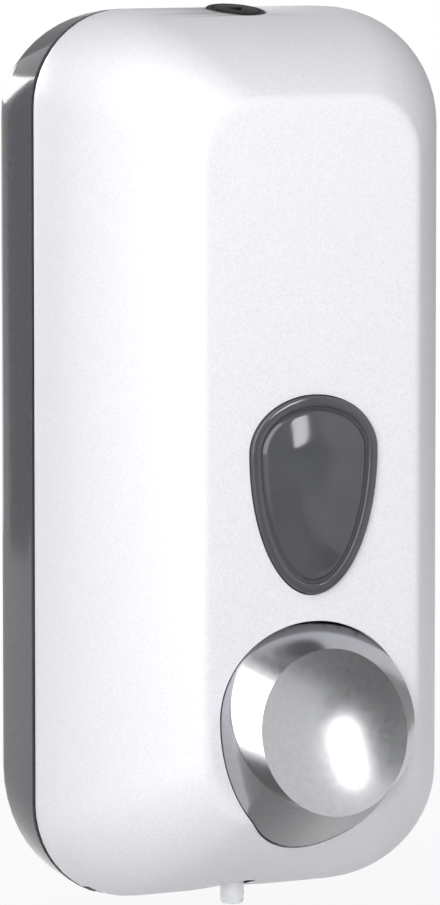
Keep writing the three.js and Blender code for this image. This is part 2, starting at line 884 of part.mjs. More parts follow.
function makeRetainer() {
  let ring = slab(windowOutline(retainerWidth), retainerBack, retainerFront);
  const spots = retainerAngles.map((angle) => windowPoint(angle, retainerBossOffset));
  for (const { x, y } of spots) {
    const lobe = rodProfile(retainerLobeRadius, retainerBack, retainerFront);
    ring = join(ring, turnedAlongDepth(lobe, x, y, smallTurnSteps));
  }
  for (const { x, y } of spots) {
    const hole = rodProfile(screwRadius + seatGap, retainerBack - cutOverrun, retainerFront + cutOverrun);
    ring = cut(ring, turnedAlongDepth(hole, x, y, smallTurnSteps));
  }
  const window = slab(windowOutline(-lensFlange), retainerBack - cutOverrun, retainerFront + cutOverrun);
  return cut(ring, window);
}

// Button

function coverDepthAt(x, height) {
  const inside = (depth) => {
    const outline = coverOutline(depth, 0);
    let odd = false;
    outline.forEach((a, i) => {
      const b = outline[(i + 1) % outline.length];
      const spans = a.y > height !== b.y > height;
      if (spans && x < a.x + ((height - a.y) / (b.y - a.y)) * (b.x - a.x)) odd = !odd;
    });
    return odd;
  };
  if (inside(panelDepth)) return panelDepth;
  let low = seamDepth;
  let high = panelDepth;
  const halvings = 14;
  for (let i = 0; i < halvings; i++) {
    const middle = (low + high) / 2;
    if (inside(middle)) low = middle;
    else high = middle;
  }
  return low;
}

const creaseOutline = (offset) =>
  eggOutline(creaseHalfWidth, openingCentre, creaseHalfHeight, creaseHalfHeight, offset);
const creaseDepthAt = (height) => creaseDepth - creaseSlopeShare * (height - openingCentre);

// A circle in the button's tilted rim plane, sunk by a distance along its normal.
function rimCircle(radius, sink) {
  const [lean, rise] = [Math.sin(rimTilt), Math.cos(rimTilt)];
  return Array.from({ length: eggSteps }, (_, i) => {
    const angle = (i / eggSteps) * 2 * Math.PI;
    const up = radius * Math.sin(angle);
    const depth = rimCentreDepth - up * lean - sink * rise;
    const height = rimCentreHeight + up * rise - sink * lean;
    return new THREE.Vector3(radius * Math.cos(angle), -depth, height);
  });
}

function makeButtonCap() {
  const outer = openingOutline(-buttonGap);
  const chinStart = (x, height) =>
    Math.min(coverDepthAt(x, height) + chinLift, creaseDepthAt(height) - chinLift);
  const dishShares = [0.25, 0.5, 0.75, 0.92];
  const dish = (radius, sink) =>
    dishShares.map((share) => rimCircle(radius * share, sink + dishHollow * (1 - share * share)));
  const rings = [
    ...dish(rimRadius, 0),
    rimCircle(rimRadius, 0),
    atDepth(creaseOutline(0), (x, height) => creaseDepthAt(height)),
    atDepth(outer, chinStart),
    atDepth(outer, buttonBackDepth),
    atDepth(openingOutline(-buttonGap - buttonWall), buttonBackDepth),
    atDepth(openingOutline(-buttonGap - buttonWall), (x, height) => chinStart(x, height) - buttonWall),
    atDepth(creaseOutline(-buttonWall), (x, height) => creaseDepthAt(height) - buttonWall),
    rimCircle(rimRadius - buttonWall, buttonWall),
    ...dish(rimRadius - buttonWall, buttonWall).reverse(),
  ];
  let cap = loft(rings);
  for (const side of [-1, 1]) {
    const x = side * carrierScrewSpread;
    const back = carrierBackDepth + carrierThickness + seatGap;
    const front = rimCentreDepth - dishHollow - buttonWall / 2;
    const boss = turnedAlongDepth(
      rodProfile(carrierBossRadius, back, front),
      x,
      carrierScrewHeight,
      smallTurnSteps,
    );
    const hole = turnedAlongDepth(
      rodProfile(screwRadius + seatGap, back - cutOverrun, back + carrierBossDepth - buttonWall),
      x,
      carrierScrewHeight,
      smallTurnSteps,
    );
    cap = cut(join(cap, boss), hole);
  }
  const room = pivotBarRadius + 2 * seatGap;
  const barNotch = block(
    -openingHalfWidth,
    openingHalfWidth,
    buttonBackDepth - cutOverrun,
    pivotDepth + room,
    pivotHeight - room,
    pivotHeight + room,
  );
  return cut(cap, barNotch);
}

function makeCarrier() {
  const inset = buttonGap + buttonWall + seatGap;
  const front = carrierBackDepth + carrierThickness;
  const plate = slab(openingOutline(-inset), carrierBackDepth, front);
  const bar = turnedAlongWidth(
    rodProfile(pivotBarRadius, -pivotBarHalfLength, pivotBarHalfLength),
    pivotDepth,
    pivotHeight,
    smallTurnSteps,
  );
  const nose = new THREE.SphereGeometry(noseRadius, smallTurnSteps, smallTurnSteps / 2);
  nose.translate(0, -pivotDepth, pumpHeight);
  const belowPump = block(
    -openingHalfWidth,
    openingHalfWidth,
    carrierBackDepth - cutOverrun,
    front + cutOverrun,
    -cutOverrun,
    pumpHeight - headRadius - noseRadius,
  );
  let carrier = join(cut(plate, belowPump), bar, solidFrom(nose));
  for (const side of [-1, 1]) {
    const pin = [side * (pivotBarHalfLength - pivotPinInset), side * (pivotBarHalfLength + cutOverrun)];
    pin.sort((a, b) => a - b);
    carrier = cut(
      carrier,
      turnedAlongWidth(
        rodProfile(pivotPinRadius + pinClearance, ...pin),
        pivotDepth,
        pivotHeight,
        smallTurnSteps,
      ),
      turnedAlongDepth(
        rodProfile(screwRadius + seatGap, carrierBackDepth - cutOverrun, front + cutOverrun),
        side * carrierScrewSpread,
        carrierScrewHeight,
        smallTurnSteps,
      ),
    );
  }
  return carrier;
}

// Tank and filler lid

// The tank seen from the side, drawn in by offset: its floor rises to the front over the pump.
function tankSideView(offset) {
  const back = tankBackDepth + offset;
  const front = tankFrontDepth - offset;
  const edge = tankEdgeCut;
  return [
    [back, tankBottom + offset],
    [tankSlopeDepth - offset / 2, tankBottom + offset],
    [front, tankSlopeTop + offset / 2],
    [front, tankTop - offset - edge],
    [front - edge, tankTop - offset],
    [back, tankTop - offset],
  ];
}
function tankForm(offset) {
  const half = bodyWidth / 2;
  const inset = coverWall + seatGap + lipThickness + tankClearance + offset;
  const round = coverForm(inset, tankBackDepth, tankFrontDepth);
  return round.intersect(carriedAcross(tankSideView(offset), -half, half));
}

const mouthRimTop = tankTop + mouthRimHeight;
const lidEarStart = mouthHalfWidth - lidEarThickness;

function makeTank() {
  const neckBottom = tankBottom - neckLength;
  const neck = turnedAlongHeight(rodProfile(neckRadius, neckBottom, tankBottom + tankWall), 0, neckDepth);
  const neckBore = turnedAlongHeight(
    rodProfile(neckRadius - neckWall, neckBottom - cutOverrun, tankBottom + tankWall + cutOverrun),
    0,
    neckDepth,
  );
  const rim = block(
    -mouthHalfWidth - mouthRimWidth,
    mouthHalfWidth + mouthRimWidth,
    mouthBack - mouthRimWidth / 2,
    mouthFront + mouthRimWidth,
    tankTop - tankWall,
    mouthRimTop,
  );
  const mouth = block(
    -mouthHalfWidth,
    mouthHalfWidth,
    mouthBack,
    mouthFront,
    tankTop - 2 * tankWall,
    mouthRimTop + cutOverrun,
  );
  let tank = cut(join(tankForm(0), neck, rim), tankForm(tankWall), neckBore, mouth);
  const earReach = lidKnuckleRadius - seatGap;
  for (const side of [-1, 1]) {
    const ends = [side * (lidEarStart + seatGap), side * mouthHalfWidth].sort((a, b) => a - b);
    const ear = block(
      ...ends,
      tankBackDepth,
      lidHinge.x + earReach,
      tankTop - tankWall / 2,
      lidHinge.y + earReach,
    );
    const hole = turnedAlongWidth(
      rodProfile(lidPinRadius + pinClearance, ends[0] - cutOverrun, ends[1] + cutOverrun),
      lidHinge.x,
      lidHinge.y,
      smallTurnSteps,
    );
    tank = cut(join(tank, ear), hole);
  }
  return tank;
}

function makeLid() {
  const low = mouthRimTop + seatGap;
  const high = low + lidThickness;
  const half = mouthHalfWidth + mouthRimWidth + lidOverhang;
  const neckHalf = lidEarStart;
  const back = lidHinge.x + lidKnuckleRadius + 2 * seatGap;
  const front = mouthFront + mouthRimWidth + lidOverhang;
  const plate = block(-half, half, back, front, low, high);
  const bridge = block(-neckHalf, neckHalf, lidHinge.x, back + seatGap, low, high);
  const knuckleSolid = turnedAlongWidth(
    rodProfile(lidKnuckleRadius, -neckHalf, neckHalf),
    lidHinge.x,
    lidHinge.y,
    smallTurnSteps,
  );
  const inset = lidPlugInset;
  const plug = block(
    inset - mouthHalfWidth,
    mouthHalfWidth - inset,
    mouthBack + inset,
    mouthFront - inset,
    low - lidPlugDepth,
    low + lidThickness / 2,
  );
  const hollow = block(
    2 * inset - mouthHalfWidth,
    mouthHalfWidth - 2 * inset,
    mouthBack + 2 * inset,
    mouthFront - 2 * inset,
    low - lidPlugDepth - cutOverrun,
    low,
  );
  const bore = turnedAlongWidth(
    rodProfile(lidPinRadius + pinClearance, -half, half),
    lidHinge.x,
    lidHinge.y,
    smallTurnSteps,
  );
  return cut(join(plate, bridge, knuckleSolid, plug), hollow, bore);
}

// Pump

const pumpBoreBack = pumpBackDepth + pumpEndWall;
const pumpEarFront = pumpEarBackDepth + pumpEarThickness;

function makePumpBody() {
  const threadLength = glandSkirtLength;
  const barrel = turnedAlongDepth(
    [
      [0, pumpBackDepth],
      [pumpOuterRadius, pumpBackDepth],
      [pumpOuterRadius, pumpFrontDepth - threadLength],
      [pumpOuterRadius - glandThreadDepth, pumpFrontDepth - threadLength],
      [pumpOuterRadius - glandThreadDepth, pumpFrontDepth],
      [0, pumpFrontDepth],
    ],
    0,
    pumpHeight,
  );
  const bore = turnedAlongDepth(
    rodProfile(pumpBoreRadius, pumpBoreBack, pumpFrontDepth + cutOverrun),
    0,
    pumpHeight,
  );
  const flangeBottom = pumpFlangeTop - pumpFlangeThickness;
  const spigot = turnedAlongHeight(
    [
      [0, pumpHeight],
      [inletSpigotRadius, pumpHeight],
      [inletSpigotRadius, flangeBottom],
      [pumpFlangeRadius, flangeBottom],
      [pumpFlangeRadius, pumpFlangeTop],
      [inletSpigotRadius, pumpFlangeTop],
      [inletSpigotRadius, inletTop],
      [0, inletTop],
    ],
    0,
    neckDepth,
  );
  const seatTop = inletPocketTop + inletSeatThickness;
  const inletBore = turnedAlongHeight(
    [
      [0, pumpHeight],
      [inletPocketRadius, pumpHeight],
      [inletPocketRadius, inletPocketTop],
      [inletSeatRadius, inletPocketTop],
      [inletSeatRadius, seatTop],
      [inletBoreRadius, seatTop],
      [inletBoreRadius, inletTop + cutOverrun],
      [0, inletTop + cutOverrun],
    ],
    0,
    neckDepth,
  );
  const outlet = turnedAlongHeight(rodProfile(outletRadius, outletEnd, pumpHeight), 0, outletDepth);
  const portTop = pumpHeight - pumpOuterRadius;
  const outletBore = turnedAlongHeight(
    [
      [0, outletEnd - cutOverrun],
      [outletBoreRadius, outletEnd - cutOverrun],
      [outletBoreRadius, portTop],
      [outletPortRadius, portTop],
      [outletPortRadius, pumpHeight],
      [0, pumpHeight],
    ],
    0,
    outletDepth,
    turnSteps,
  );
  let body = join(barrel, spigot, outlet);
  for (const side of [-1, 1]) {
    const eye = turnedAlongDepth(
      rodProfile(pumpEarRadius, pumpEarBackDepth, pumpEarFront),
      side * pumpEarSpread,
      pumpHeight,
      smallTurnSteps,
    );
    const reach = [0, side * pumpEarSpread].sort((a, b) => a - b);
    const web = block(
      ...reach,
      pumpEarBackDepth,
      pumpEarFront,
      pumpHeight - pumpEarRadius,
      pumpHeight + pumpEarRadius,
    );
    body = join(body, eye, web);
  }
  body = cut(body, bore, inletBore, outletBore);
  for (const side of [-1, 1]) {
    const hole = turnedAlongDepth(
      rodProfile(screwRadius + seatGap, pumpEarBackDepth - cutOverrun, pumpEarFront + cutOverrun),
      side * pumpEarSpread,
      pumpHeight,
      smallTurnSteps,
    );
    body = cut(body, hole);
  }
  return body;
}

const glandBack = pumpFrontDepth + seatGap;
const glandFront = glandBack + glandLength;

function makeGland() {
  const inner = rodRadius + seatGap;
  const pocketEnd = glandBack + rodSealThickness + 2 * seatGap;
  const skirtInner = pumpOuterRadius - glandThreadDepth + seatGap;
  return turnedAlongDepth(
    [
      [inner, pocketEnd],
      [rodSealRadius + seatGap, pocketEnd],
      [rodSealRadius + seatGap, glandBack],
      [skirtInner, glandBack],
      [skirtInner, pumpFrontDepth - glandSkirtLength + seatGap],
      [glandRadius, pumpFrontDepth - glandSkirtLength + seatGap],
      [glandRadius, glandFront - glandThreadDepth],
      [glandRadius - glandThreadDepth, glandFront],
      [inner, glandFront],
      [inner, pocketEnd],
    ],
    0,
    pumpHeight,
  );
}

function makeRodSeal() {
  const start = glandBack + seatGap;
  return turnedAlongDepth(
    tubeProfile(rodSealRadius, rodRadius + seatGap, start, start + rodSealThickness),
    0,
    pumpHeight,
  );
}

const headFront = pivotDepth - noseRadius - seatGap;
const pistonFrontDepth = pistonBackDepth + pistonLength;

function makePlunger() {
  const grooveStart = pistonBackDepth + (pistonLength - pistonGrooveLength) / 2;
  const grooveEnd = grooveStart + pistonGrooveLength;
  return turnedAlongDepth(
    [
      [0, pistonBackDepth],
      [pistonRadius, pistonBackDepth],
      [pistonRadius, grooveStart],
      [pistonGrooveRadius, grooveStart],
      [pistonGrooveRadius, grooveEnd],
      [pistonRadius, grooveEnd],
      [pistonRadius, pistonFrontDepth],
      [rodRadius, pistonFrontDepth],
      [rodRadius, headFront - headThickness],
      [headRadius, headFront - headThickness],
      [headRadius, headFront - headThickness / 3],
      [headRadius - headThickness / 3, headFront],
      [0, headFront],
    ],
    0,
    pumpHeight,
  );
}

function makePistonSeal() {
  const slack = seatGap / 2;
  const start = pistonBackDepth + (pistonLength - pistonGrooveLength) / 2 + slack;
  const end = start + pistonGrooveLength - 2 * slack;
  const middle = (start + end) / 2;
  const outer = pumpBoreRadius - pinClearance;
  const inner = pistonGrooveRadius + slack;
  return turnedAlongDepth(
    [
      [inner, start],
      [pistonRadius, start],
      [outer, middle],
      [pistonRadius, end],
      [inner, end],
      [inner, start],
    ],
    0,
    pumpHeight,
  );
}

// One unbroken wire from the bore's end to the piston, its ends straight and square to both.
function makeSpring() {
  const sides = 5;
  const stepsPerTurn = 8;
  const start = pumpBoreBack + seatGap;
  const end = pistonBackDepth - seatGap;
  const straight = 2 * springWireRadius;
  const path = [];
  const steps = springTurns * stepsPerTurn;
  for (let i = 0; i <= steps; i++) {
    const share = i / steps;
    const angle = share * springTurns * 2 * Math.PI;
    const depth = start + straight + springWireRadius + share * (end - start - 2 * (straight + springWireRadius));
    path.push(
      new THREE.Vector3(springMeanRadius * Math.cos(angle), -depth, pumpHeight + springMeanRadius * Math.sin(angle)),
    );
  }
  const first = path[0].clone().setY(-start);
  const last = path.at(-1).clone().setY(-end);
  path.unshift(first);
  path.push(last);
  const rings = path.map((point, i) => {
    const ahead = path[Math.min(i + 1, path.length - 1)];
    const behind = path[Math.max(i - 1, 0)];
    const way = ahead.clone().sub(behind).normalize();
    const outward = new THREE.Vector3(point.x, 0, point.z - pumpHeight).normalize();
    const side = new THREE.Vector3().crossVectors(way, outward).normalize();
    const up = new THREE.Vector3().crossVectors(side, way);
    return Array.from({ length: sides }, (_, k) => {
      const angle = (k / sides) * 2 * Math.PI;
      return point
        .clone()
        .addScaledVector(up, springWireRadius * Math.cos(angle))
        .addScaledVector(side, springWireRadius * Math.sin(angle));
    });
  });
  reportSelfGap(path, 2 * springWireRadius, stepsPerTurn / 2);
  return loft(rings);
}

// The least gap of a wire to itself, over points at least half a turn apart.
function reportSelfGap(path, diameter, apart) {
  let least = Infinity;
  path.forEach((a, i) => {
    for (let j = i + apart; j < path.length; j++) least = Math.min(least, a.distanceTo(path[j]) - diameter);
  });
  console.log("pump spring: least gap to itself " + least.toFixed(2) + " mm");
}

function makeInletValve() {
  const discTop = inletPocketTop - seatGap;
  const seatTop = inletPocketTop + inletSeatThickness + seatGap;
  return turnedAlongHeight(
    [
      [0, discTop - valveDiscThickness],
      [valveDiscRadius, discTop - valveDiscThickness / 2],
      [valveDiscRadius, discTop],
      [valveStemRadius, discTop],
      [valveStemRadius, seatTop],
      [valveBulbRadius, seatTop + valveBulbRadius],
      [0, seatTop + 2 * valveBulbRadius],
    ],
    0,
    neckDepth,
    smallTurnSteps,
  );
}

const nozzleFlangeTop = outletEnd - seatGap;
const nozzleTop = outletEnd + nozzleSpigotLength;

function makeNozzle() {
  const spigot = outletBoreRadius - seatGap;
  return turnedAlongHeight(
    [
      [nozzleBoreRadius, nozzleTip],
      [nozzleRadius - nozzleTipRound, nozzleTip],
      [nozzleRadius, nozzleTip + nozzleTipRound],
      [nozzleRadius, nozzleFlangeTop - nozzleFlangeThickness],
      [outletRadius, nozzleFlangeTop - nozzleFlangeThickness],
      [outletRadius, nozzleFlangeTop],
      [spigot, nozzleFlangeTop],
      [spigot, nozzleTop],
      [nozzleBoreRadius, nozzleTop],
      [nozzleBoreRadius, nozzleTip],
    ],
    0,
    outletDepth,
  );
}

function makeOutletValve() {
  const seat = nozzleTop + seatGap;
  const tip = seat - duckbillLength;
  const neck = nozzleBoreRadius - seatGap;
  return turnedAlongHeight(
    [
      [duckbillTipRadius / 2, tip],
      [duckbillTipRadius, tip],
      [neck, seat - duckbillFlange],
      [neck, seat],
      [outletBoreRadius - seatGap, seat],
      [outletBoreRadius - seatGap, seat + duckbillFlange],
      [neck - duckbillTipRadius / 2, seat + duckbillFlange],
      [duckbillTipRadius / 2, tip],
    ],
    0,
    outletDepth,
    smallTurnSteps,
  );
}

// The union ring that holds the tank's neck on the pump, with grip flutes round it.
function makePumpRing() {
  const low = pumpFlangeTop + seatGap;
  let ring = turnedAlongHeight(
    tubeProfile(ringRadius, neckRadius + seatGap, low, low + ringHeight),
    0,
    neckDepth,
  );
  for (let i = 0; i < ringGripCount; i++) {
    const angle = (i / ringGripCount) * 2 * Math.PI;
    const reach = ringRadius + ringGripRadius / 2;
    const flute = turnedAlongHeight(
      rodProfile(ringGripRadius, low - cutOverrun, low + ringHeight + cutOverrun),
      reach * Math.cos(angle),
      neckDepth + reach * Math.sin(angle),
      8,
    );
    ring = cut(ring, flute);
  }
  return ring;
}

function makeTankSeal() {
  const low = pumpFlangeTop + seatGap;
  const inner = inletSpigotRadius + seatGap;
  const high = tankBottom - neckLength - seatGap;
  const top = Math.min(high, low + sealThickness);
  return turnedAlongHeight(tubeProfile(neckRadius, inner, low, top), 0, neckDepth);
}

// Lock, in its own frame

const camTop = -collarTubeLength - seatGap;
const camBottom = camTop - camThickness;

function makeCollar() {
  const inner = barrelRadius + pinClearance;
  return lockTurned([
    [inner, -collarTubeLength],
    [collarTubeRadius, -collarTubeLength],
    [collarTubeRadius, -collarSeat + seatGap],
    [collarRadius, -collarSeat + seatGap],
    [collarRadius, collarRise - collarRise / 2],
    [collarRadius - collarRise / 2, collarRise],
    [barrelFaceRadius + seatGap, collarRise],
    [barrelFaceRadius + seatGap, seatGap],
    [inner, seatGap],
    [inner, -collarTubeLength],
  ]);
}

function makeNut() {
  const top = -collarSeat - coverWall - seatGap;
  const hexagon = solidFrom(
    new THREE.CylinderGeometry(nutRadius, nutRadius, nutHeight, 6)
      .rotateX(Math.PI / 2)
      .translate(0, 0, top - nutHeight / 2),
  );
  const bore = lockTurned(rodProfile(collarTubeRadius + seatGap, top - nutHeight - cutOverrun, top + cutOverrun));
  return cut(hexagon, bore);
}

function makeBarrel() {
  const body = lockTurned([
    [0, camBottom],
    [barrelRadius / 2, camBottom],
    [barrelRadius / 2, camTop + seatGap],
    [barrelRadius, camTop + seatGap],
    [barrelRadius, 2 * seatGap],
    [barrelFaceRadius, 2 * seatGap],
    [barrelFaceRadius, collarRise + barrelFaceRise / 2],
    [barrelFaceRadius - barrelFaceRise / 2, collarRise + barrelFaceRise],
    [0, collarRise + barrelFaceRise],
  ]);
  const top = collarRise + barrelFaceRise;
  const key = solidFrom(
    new THREE.CylinderGeometry(keySlotRadius, keySlotRadius, 2 * keySlotDepth, 3)
      .rotateX(Math.PI / 2)
      .translate(0, 0, top),
  );
  const bore = lockTurned(rodProfile(screwRadius + seatGap, camBottom - cutOverrun, camTop), smallTurnSteps);
  return cut(body, key, bore);
}

// The cam points to the left with its toe to the rear, and turns a quarter to bring the toe in.
function makeCam() {
  const half = camHalfWidth;
  const toe = camToeReach;
  const shape = new THREE.Shape();
  shape.moveTo(0, half);
  shape.lineTo(-camReach + camToeWidth, half);
  shape.lineTo(-camReach + camToeWidth, toe);
  shape.lineTo(-camReach, toe);
  shape.lineTo(-camReach, -half / 2);
  shape.lineTo(-camReach + half / 2, -half);
  shape.lineTo(0, -half);
  shape.absarc(0, 0, half, -Math.PI / 2, Math.PI / 2, false);
  const hub = new THREE.Path();
  hub.absarc(0, 0, barrelRadius / 2 + seatGap, 0, 2 * Math.PI, true);
  shape.holes.push(hub);
  const geometry = new THREE.ExtrudeGeometry(shape, {
    depth: camThickness,
    bevelEnabled: false,
    curveSegments: smallTurnSteps,
  });
  return solidFrom(geometry.translate(0, 0, camBottom));
}

function makeLockScrew() {
  const head = camBottom - seatGap;
  const solid = lockTurned(
    [
      [0, head - screwHeadHeight],
      [screwHeadRadius, head - screwHeadHeight],
      [screwHeadRadius, head],
      [screwRadius, head],
      [screwRadius, camTop - seatGap],
      [0, camTop - seatGap],
    ],
    smallTurnSteps,
  );
  const bottom = head - screwHeadHeight;
  const drive = lockTurned(rodProfile(driveRadius, bottom - cutOverrun, bottom + driveDepth), 6);
  return cut(solid, drive);
}

// Pins: along the width, from one x to another
function widthPin(radius, x0, x1, depth, height) {
  const ends = [x0, x1].sort((a, b) => a - b);
  return turnedAlongWidth(rodProfile(radius, ...ends), depth, height, smallTurnSteps);
}

// The pieces, body by body
const wallBody = new THREE.Group();
const coverBody = new THREE.Group();
const buttonBody = new THREE.Group();
const plungerBody = new THREE.Group();
const lidBody = new THREE.Group();
assembly.add(wallBody, coverBody, plungerBody, lidBody);
coverBody.add(buttonBody, lockPlace);

addPiece(wallBody, "back_shell", makeBackShell(), FINISHES.greyShell);
addPiece(wallBody, "tank_body", makeTank(), FINISHES.clearTank);
addPiece(wallBody, "tank_seal", makeTankSeal(), FINISHES.rubber);
addPiece(wallBody, "pump_body", makePumpBody(), FINISHES.whitePlastic);
addPiece(wallBody, "pump_ring", makePumpRing(), FINISHES.whitePlastic);
addPiece(wallBody, "pump_gland", makeGland(), FINISHES.whitePlastic);
addPiece(wallBody, "rod_seal", makeRodSeal(), FINISHES.rubber);
addPiece(wallBody, "pump_spring", makeSpring(), FINISHES.steel);
addPiece(wallBody, "inlet_valve", makeInletValve(), FINISHES.rubber);
addPiece(wallBody, "outlet_valve", makeOutletValve(), FINISHES.rubber);
addPiece(wallBody, "nozzle", makeNozzle(), FINISHES.clearNozzle);
addPiece(
  wallBody,
  "lid_pin",
  widthPin(lidPinRadius, -mouthHalfWidth, mouthHalfWidth, lidHinge.x, lidHinge.y),
  FINISHES.steel,
);
addPiece(lidBody, "filler_lid", makeLid(), FINISHES.whitePlastic);
addPiece(coverBody, "front_cover", makeCover(), FINISHES.satinCover);
addPiece(coverBody, "window_lens", makeLens(), FINISHES.smokeLens);
addPiece(coverBody, "window_gasket", makeGasket(), FINISHES.rubber);
addPiece(coverBody, "window_retainer", makeRetainer(), FINISHES.whitePlastic);
retainerAngles.forEach((angle, i) => {
  const { x, y } = windowPoint(angle, retainerBossOffset);
  const head = retainerBack - seatGap - screwHeadHeight;
  const screw = screwAlongDepth(x, y, head, insideFace - 2 * seatGap);
  addPiece(coverBody, "retainer_screw_" + (i + 1), screw, FINISHES.steel);
});
for (const [side, name] of [
  [-1, "left"],
  [1, "right"],
]) {
  const hingePin = widthPin(hingePinRadius, side * hingePinStart, side * hingePinEnd, hingeDepth, hingeHeight);
  addPiece(wallBody, "hinge_pin_" + name, hingePin, FINISHES.steel);
  const pivotStart = side * (pivotBarHalfLength - pivotPinInset + seatGap);
  const buttonPin = widthPin(pivotPinRadius, pivotStart, side * buttonPinEnd, pivotDepth, pivotHeight);
  addPiece(coverBody, "button_pin_" + name, buttonPin, FINISHES.steel);
  const pumpScrew = screwAlongDepth(
    side * pumpEarSpread,
    pumpHeight,
    pumpEarFront + seatGap + screwHeadHeight,
    shellFloor + 2 * cutOverrun,
  );
  addPiece(wallBody, "pump_screw_" + name, pumpScrew, FINISHES.steel);
  const capScrew = screwAlongDepth(
    side * carrierScrewSpread,
    carrierScrewHeight,
    carrierBackDepth - seatGap - screwHeadHeight,
    carrierBackDepth + carrierThickness + carrierBossDepth - buttonWall - seatGap,
  );
  addPiece(buttonBody, "carrier_screw_" + name, capScrew, FINISHES.steel);
}
addPiece(buttonBody, "button_cap", makeButtonCap(), FINISHES.satinChrome);
addPiece(buttonBody, "button_carrier", makeCarrier(), FINISHES.blackPlastic);
addPiece(plungerBody, "plunger", makePlunger(), FINISHES.whitePlastic);
addPiece(plungerBody, "piston_seal", makePistonSeal(), FINISHES.rubber);
addPiece(lockPlace, "lock_collar", makeCollar(), FINISHES.blackPlastic);
addPiece(lockPlace, "lock_nut", makeNut(), FINISHES.blackPlastic);
addPiece(lockPlace, "lock_barrel", makeBarrel(), FINISHES.blackPlastic);
addPiece(lockPlace, "lock_cam", makeCam(), FINISHES.steel);
addPiece(lockPlace, "lock_screw", makeLockScrew(), FINISHES.steel);

const group = new THREE.Group();
group.add(assembly);
export default group;
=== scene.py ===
# %% [markdown]
# A washroom soap dispenser hangs on a wall: a grey back shell, a silver-white cover that swings down to
# refill the tank, a smoke-grey window and a chromed push button that works the pump. The solids come
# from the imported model, which fixes every size. This lesson dresses them: each part that shows gets a
# finely curved copy in the same place, and every part gets a finish. Everything is in metres, with the
# wall at Y = 0, the front towards -Y and the origin at the middle of the back.

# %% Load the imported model
import json
import math

import bmesh
import bpy
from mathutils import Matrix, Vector


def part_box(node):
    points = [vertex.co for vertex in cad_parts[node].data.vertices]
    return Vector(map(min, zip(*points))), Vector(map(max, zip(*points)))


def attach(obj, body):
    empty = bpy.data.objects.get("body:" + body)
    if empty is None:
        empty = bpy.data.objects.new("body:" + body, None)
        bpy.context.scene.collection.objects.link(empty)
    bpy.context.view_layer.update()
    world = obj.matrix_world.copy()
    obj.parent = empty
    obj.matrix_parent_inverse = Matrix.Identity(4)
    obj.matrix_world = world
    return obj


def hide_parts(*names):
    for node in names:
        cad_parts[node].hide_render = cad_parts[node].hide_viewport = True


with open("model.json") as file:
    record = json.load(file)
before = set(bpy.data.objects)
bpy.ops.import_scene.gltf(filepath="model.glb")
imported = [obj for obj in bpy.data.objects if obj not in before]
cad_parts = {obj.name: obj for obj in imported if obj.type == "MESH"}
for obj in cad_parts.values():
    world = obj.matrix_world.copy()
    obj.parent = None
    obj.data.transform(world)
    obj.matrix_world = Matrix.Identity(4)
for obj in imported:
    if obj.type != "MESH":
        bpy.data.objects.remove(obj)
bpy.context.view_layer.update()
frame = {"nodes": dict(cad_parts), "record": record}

# %% [markdown]
# Sizes first, as on a drawing. The casing is a rounded box whose walls lean in towards a flat front panel
# along arcs, so a few depths and half-widths describe it. The width and the panel's depth are read from
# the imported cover; the rest are the named sizes of the casing. Heights are counted from the lower edge,
# and depths from the wall.

# %% The casing's sizes
MM = 0.001
cover_low, cover_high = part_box("front_cover")
HALF_WIDTH = cover_high.x
BODY_HEIGHT = 216 * MM
BASE = -BODY_HEIGHT / 2
SEAM_DEPTH = 15.6 * MM
SEAM_GAP = 0.7 * MM
PANEL_DEPTH = -cover_low.y
PANEL_HALF_WIDTH = 29.2 * MM
PANEL_TOP_DROP, PANEL_BOTTOM = 20.1 * MM, 23.5 * MM
SIDE_CROWN_START = 19.6 * MM
TOP_CROWN_START = 19.1 * MM
BOTTOM_CROWN_START = 10.9 * MM
SEAM_CORNER_TOP = Vector((23.9, 23.4)) * MM
SEAM_CORNER_BOTTOM = Vector((25.1, 24)) * MM
PANEL_CORNER = Vector((15, 15)) * MM
COVER_EDGE_ROUND = 1.2 * MM
print("casing:", round(2 * HALF_WIDTH, 4), "wide", BODY_HEIGHT, "high", round(PANEL_DEPTH, 4), "deep")

# %% [markdown]
# Blender's operators work on what is selected, and the import leaves every part selected. So there is one
# helper that starts a piece from a primitive with nothing else selected and its place written into its mesh,
# one that opens a piece for editing, and one that selects its points by where they are.


# %% Helpers for starting and selecting
def take(*pieces):
    bpy.ops.object.select_all(action="DESELECT")
    for piece in pieces:
        piece.select_set(True)
    bpy.context.view_layer.objects.active = pieces[0]


def start(add, scale=(1, 1, 1), **place):
    bpy.ops.object.select_all(action="DESELECT")
    add(**place)
    piece = bpy.context.object
    piece.scale = scale
    bpy.ops.object.transform_apply(location=True, rotation=True, scale=True)
    return piece


def edit(piece):
    take(piece)
    bpy.ops.object.mode_set(mode="EDIT")
    bpy.ops.mesh.select_mode(type="VERT")
    bpy.ops.mesh.select_all(action="DESELECT")


def pick(piece, wanted):
    mesh = bmesh.from_edit_mesh(piece.data)
    for vertex in mesh.verts:
        vertex.select_set(bool(wanted(vertex.co)))
    mesh.select_flush(True)
    bmesh.update_edit_mesh(piece.data)


def finish_edit():
    bpy.ops.object.mode_set(mode="OBJECT")


# %% [markdown]
# The casing is lofted: one closed outline after another, bridged to the next. An outline starts as a plane
# that stands upright. Its four corners are bevelled into quarter circles, and each quarter is then
# stretched sideways about its outer end, because the corners of this casing are a little wider than high.

# %% Rounded outlines
CORNER_STEPS = 12
SLACK = 1e-6


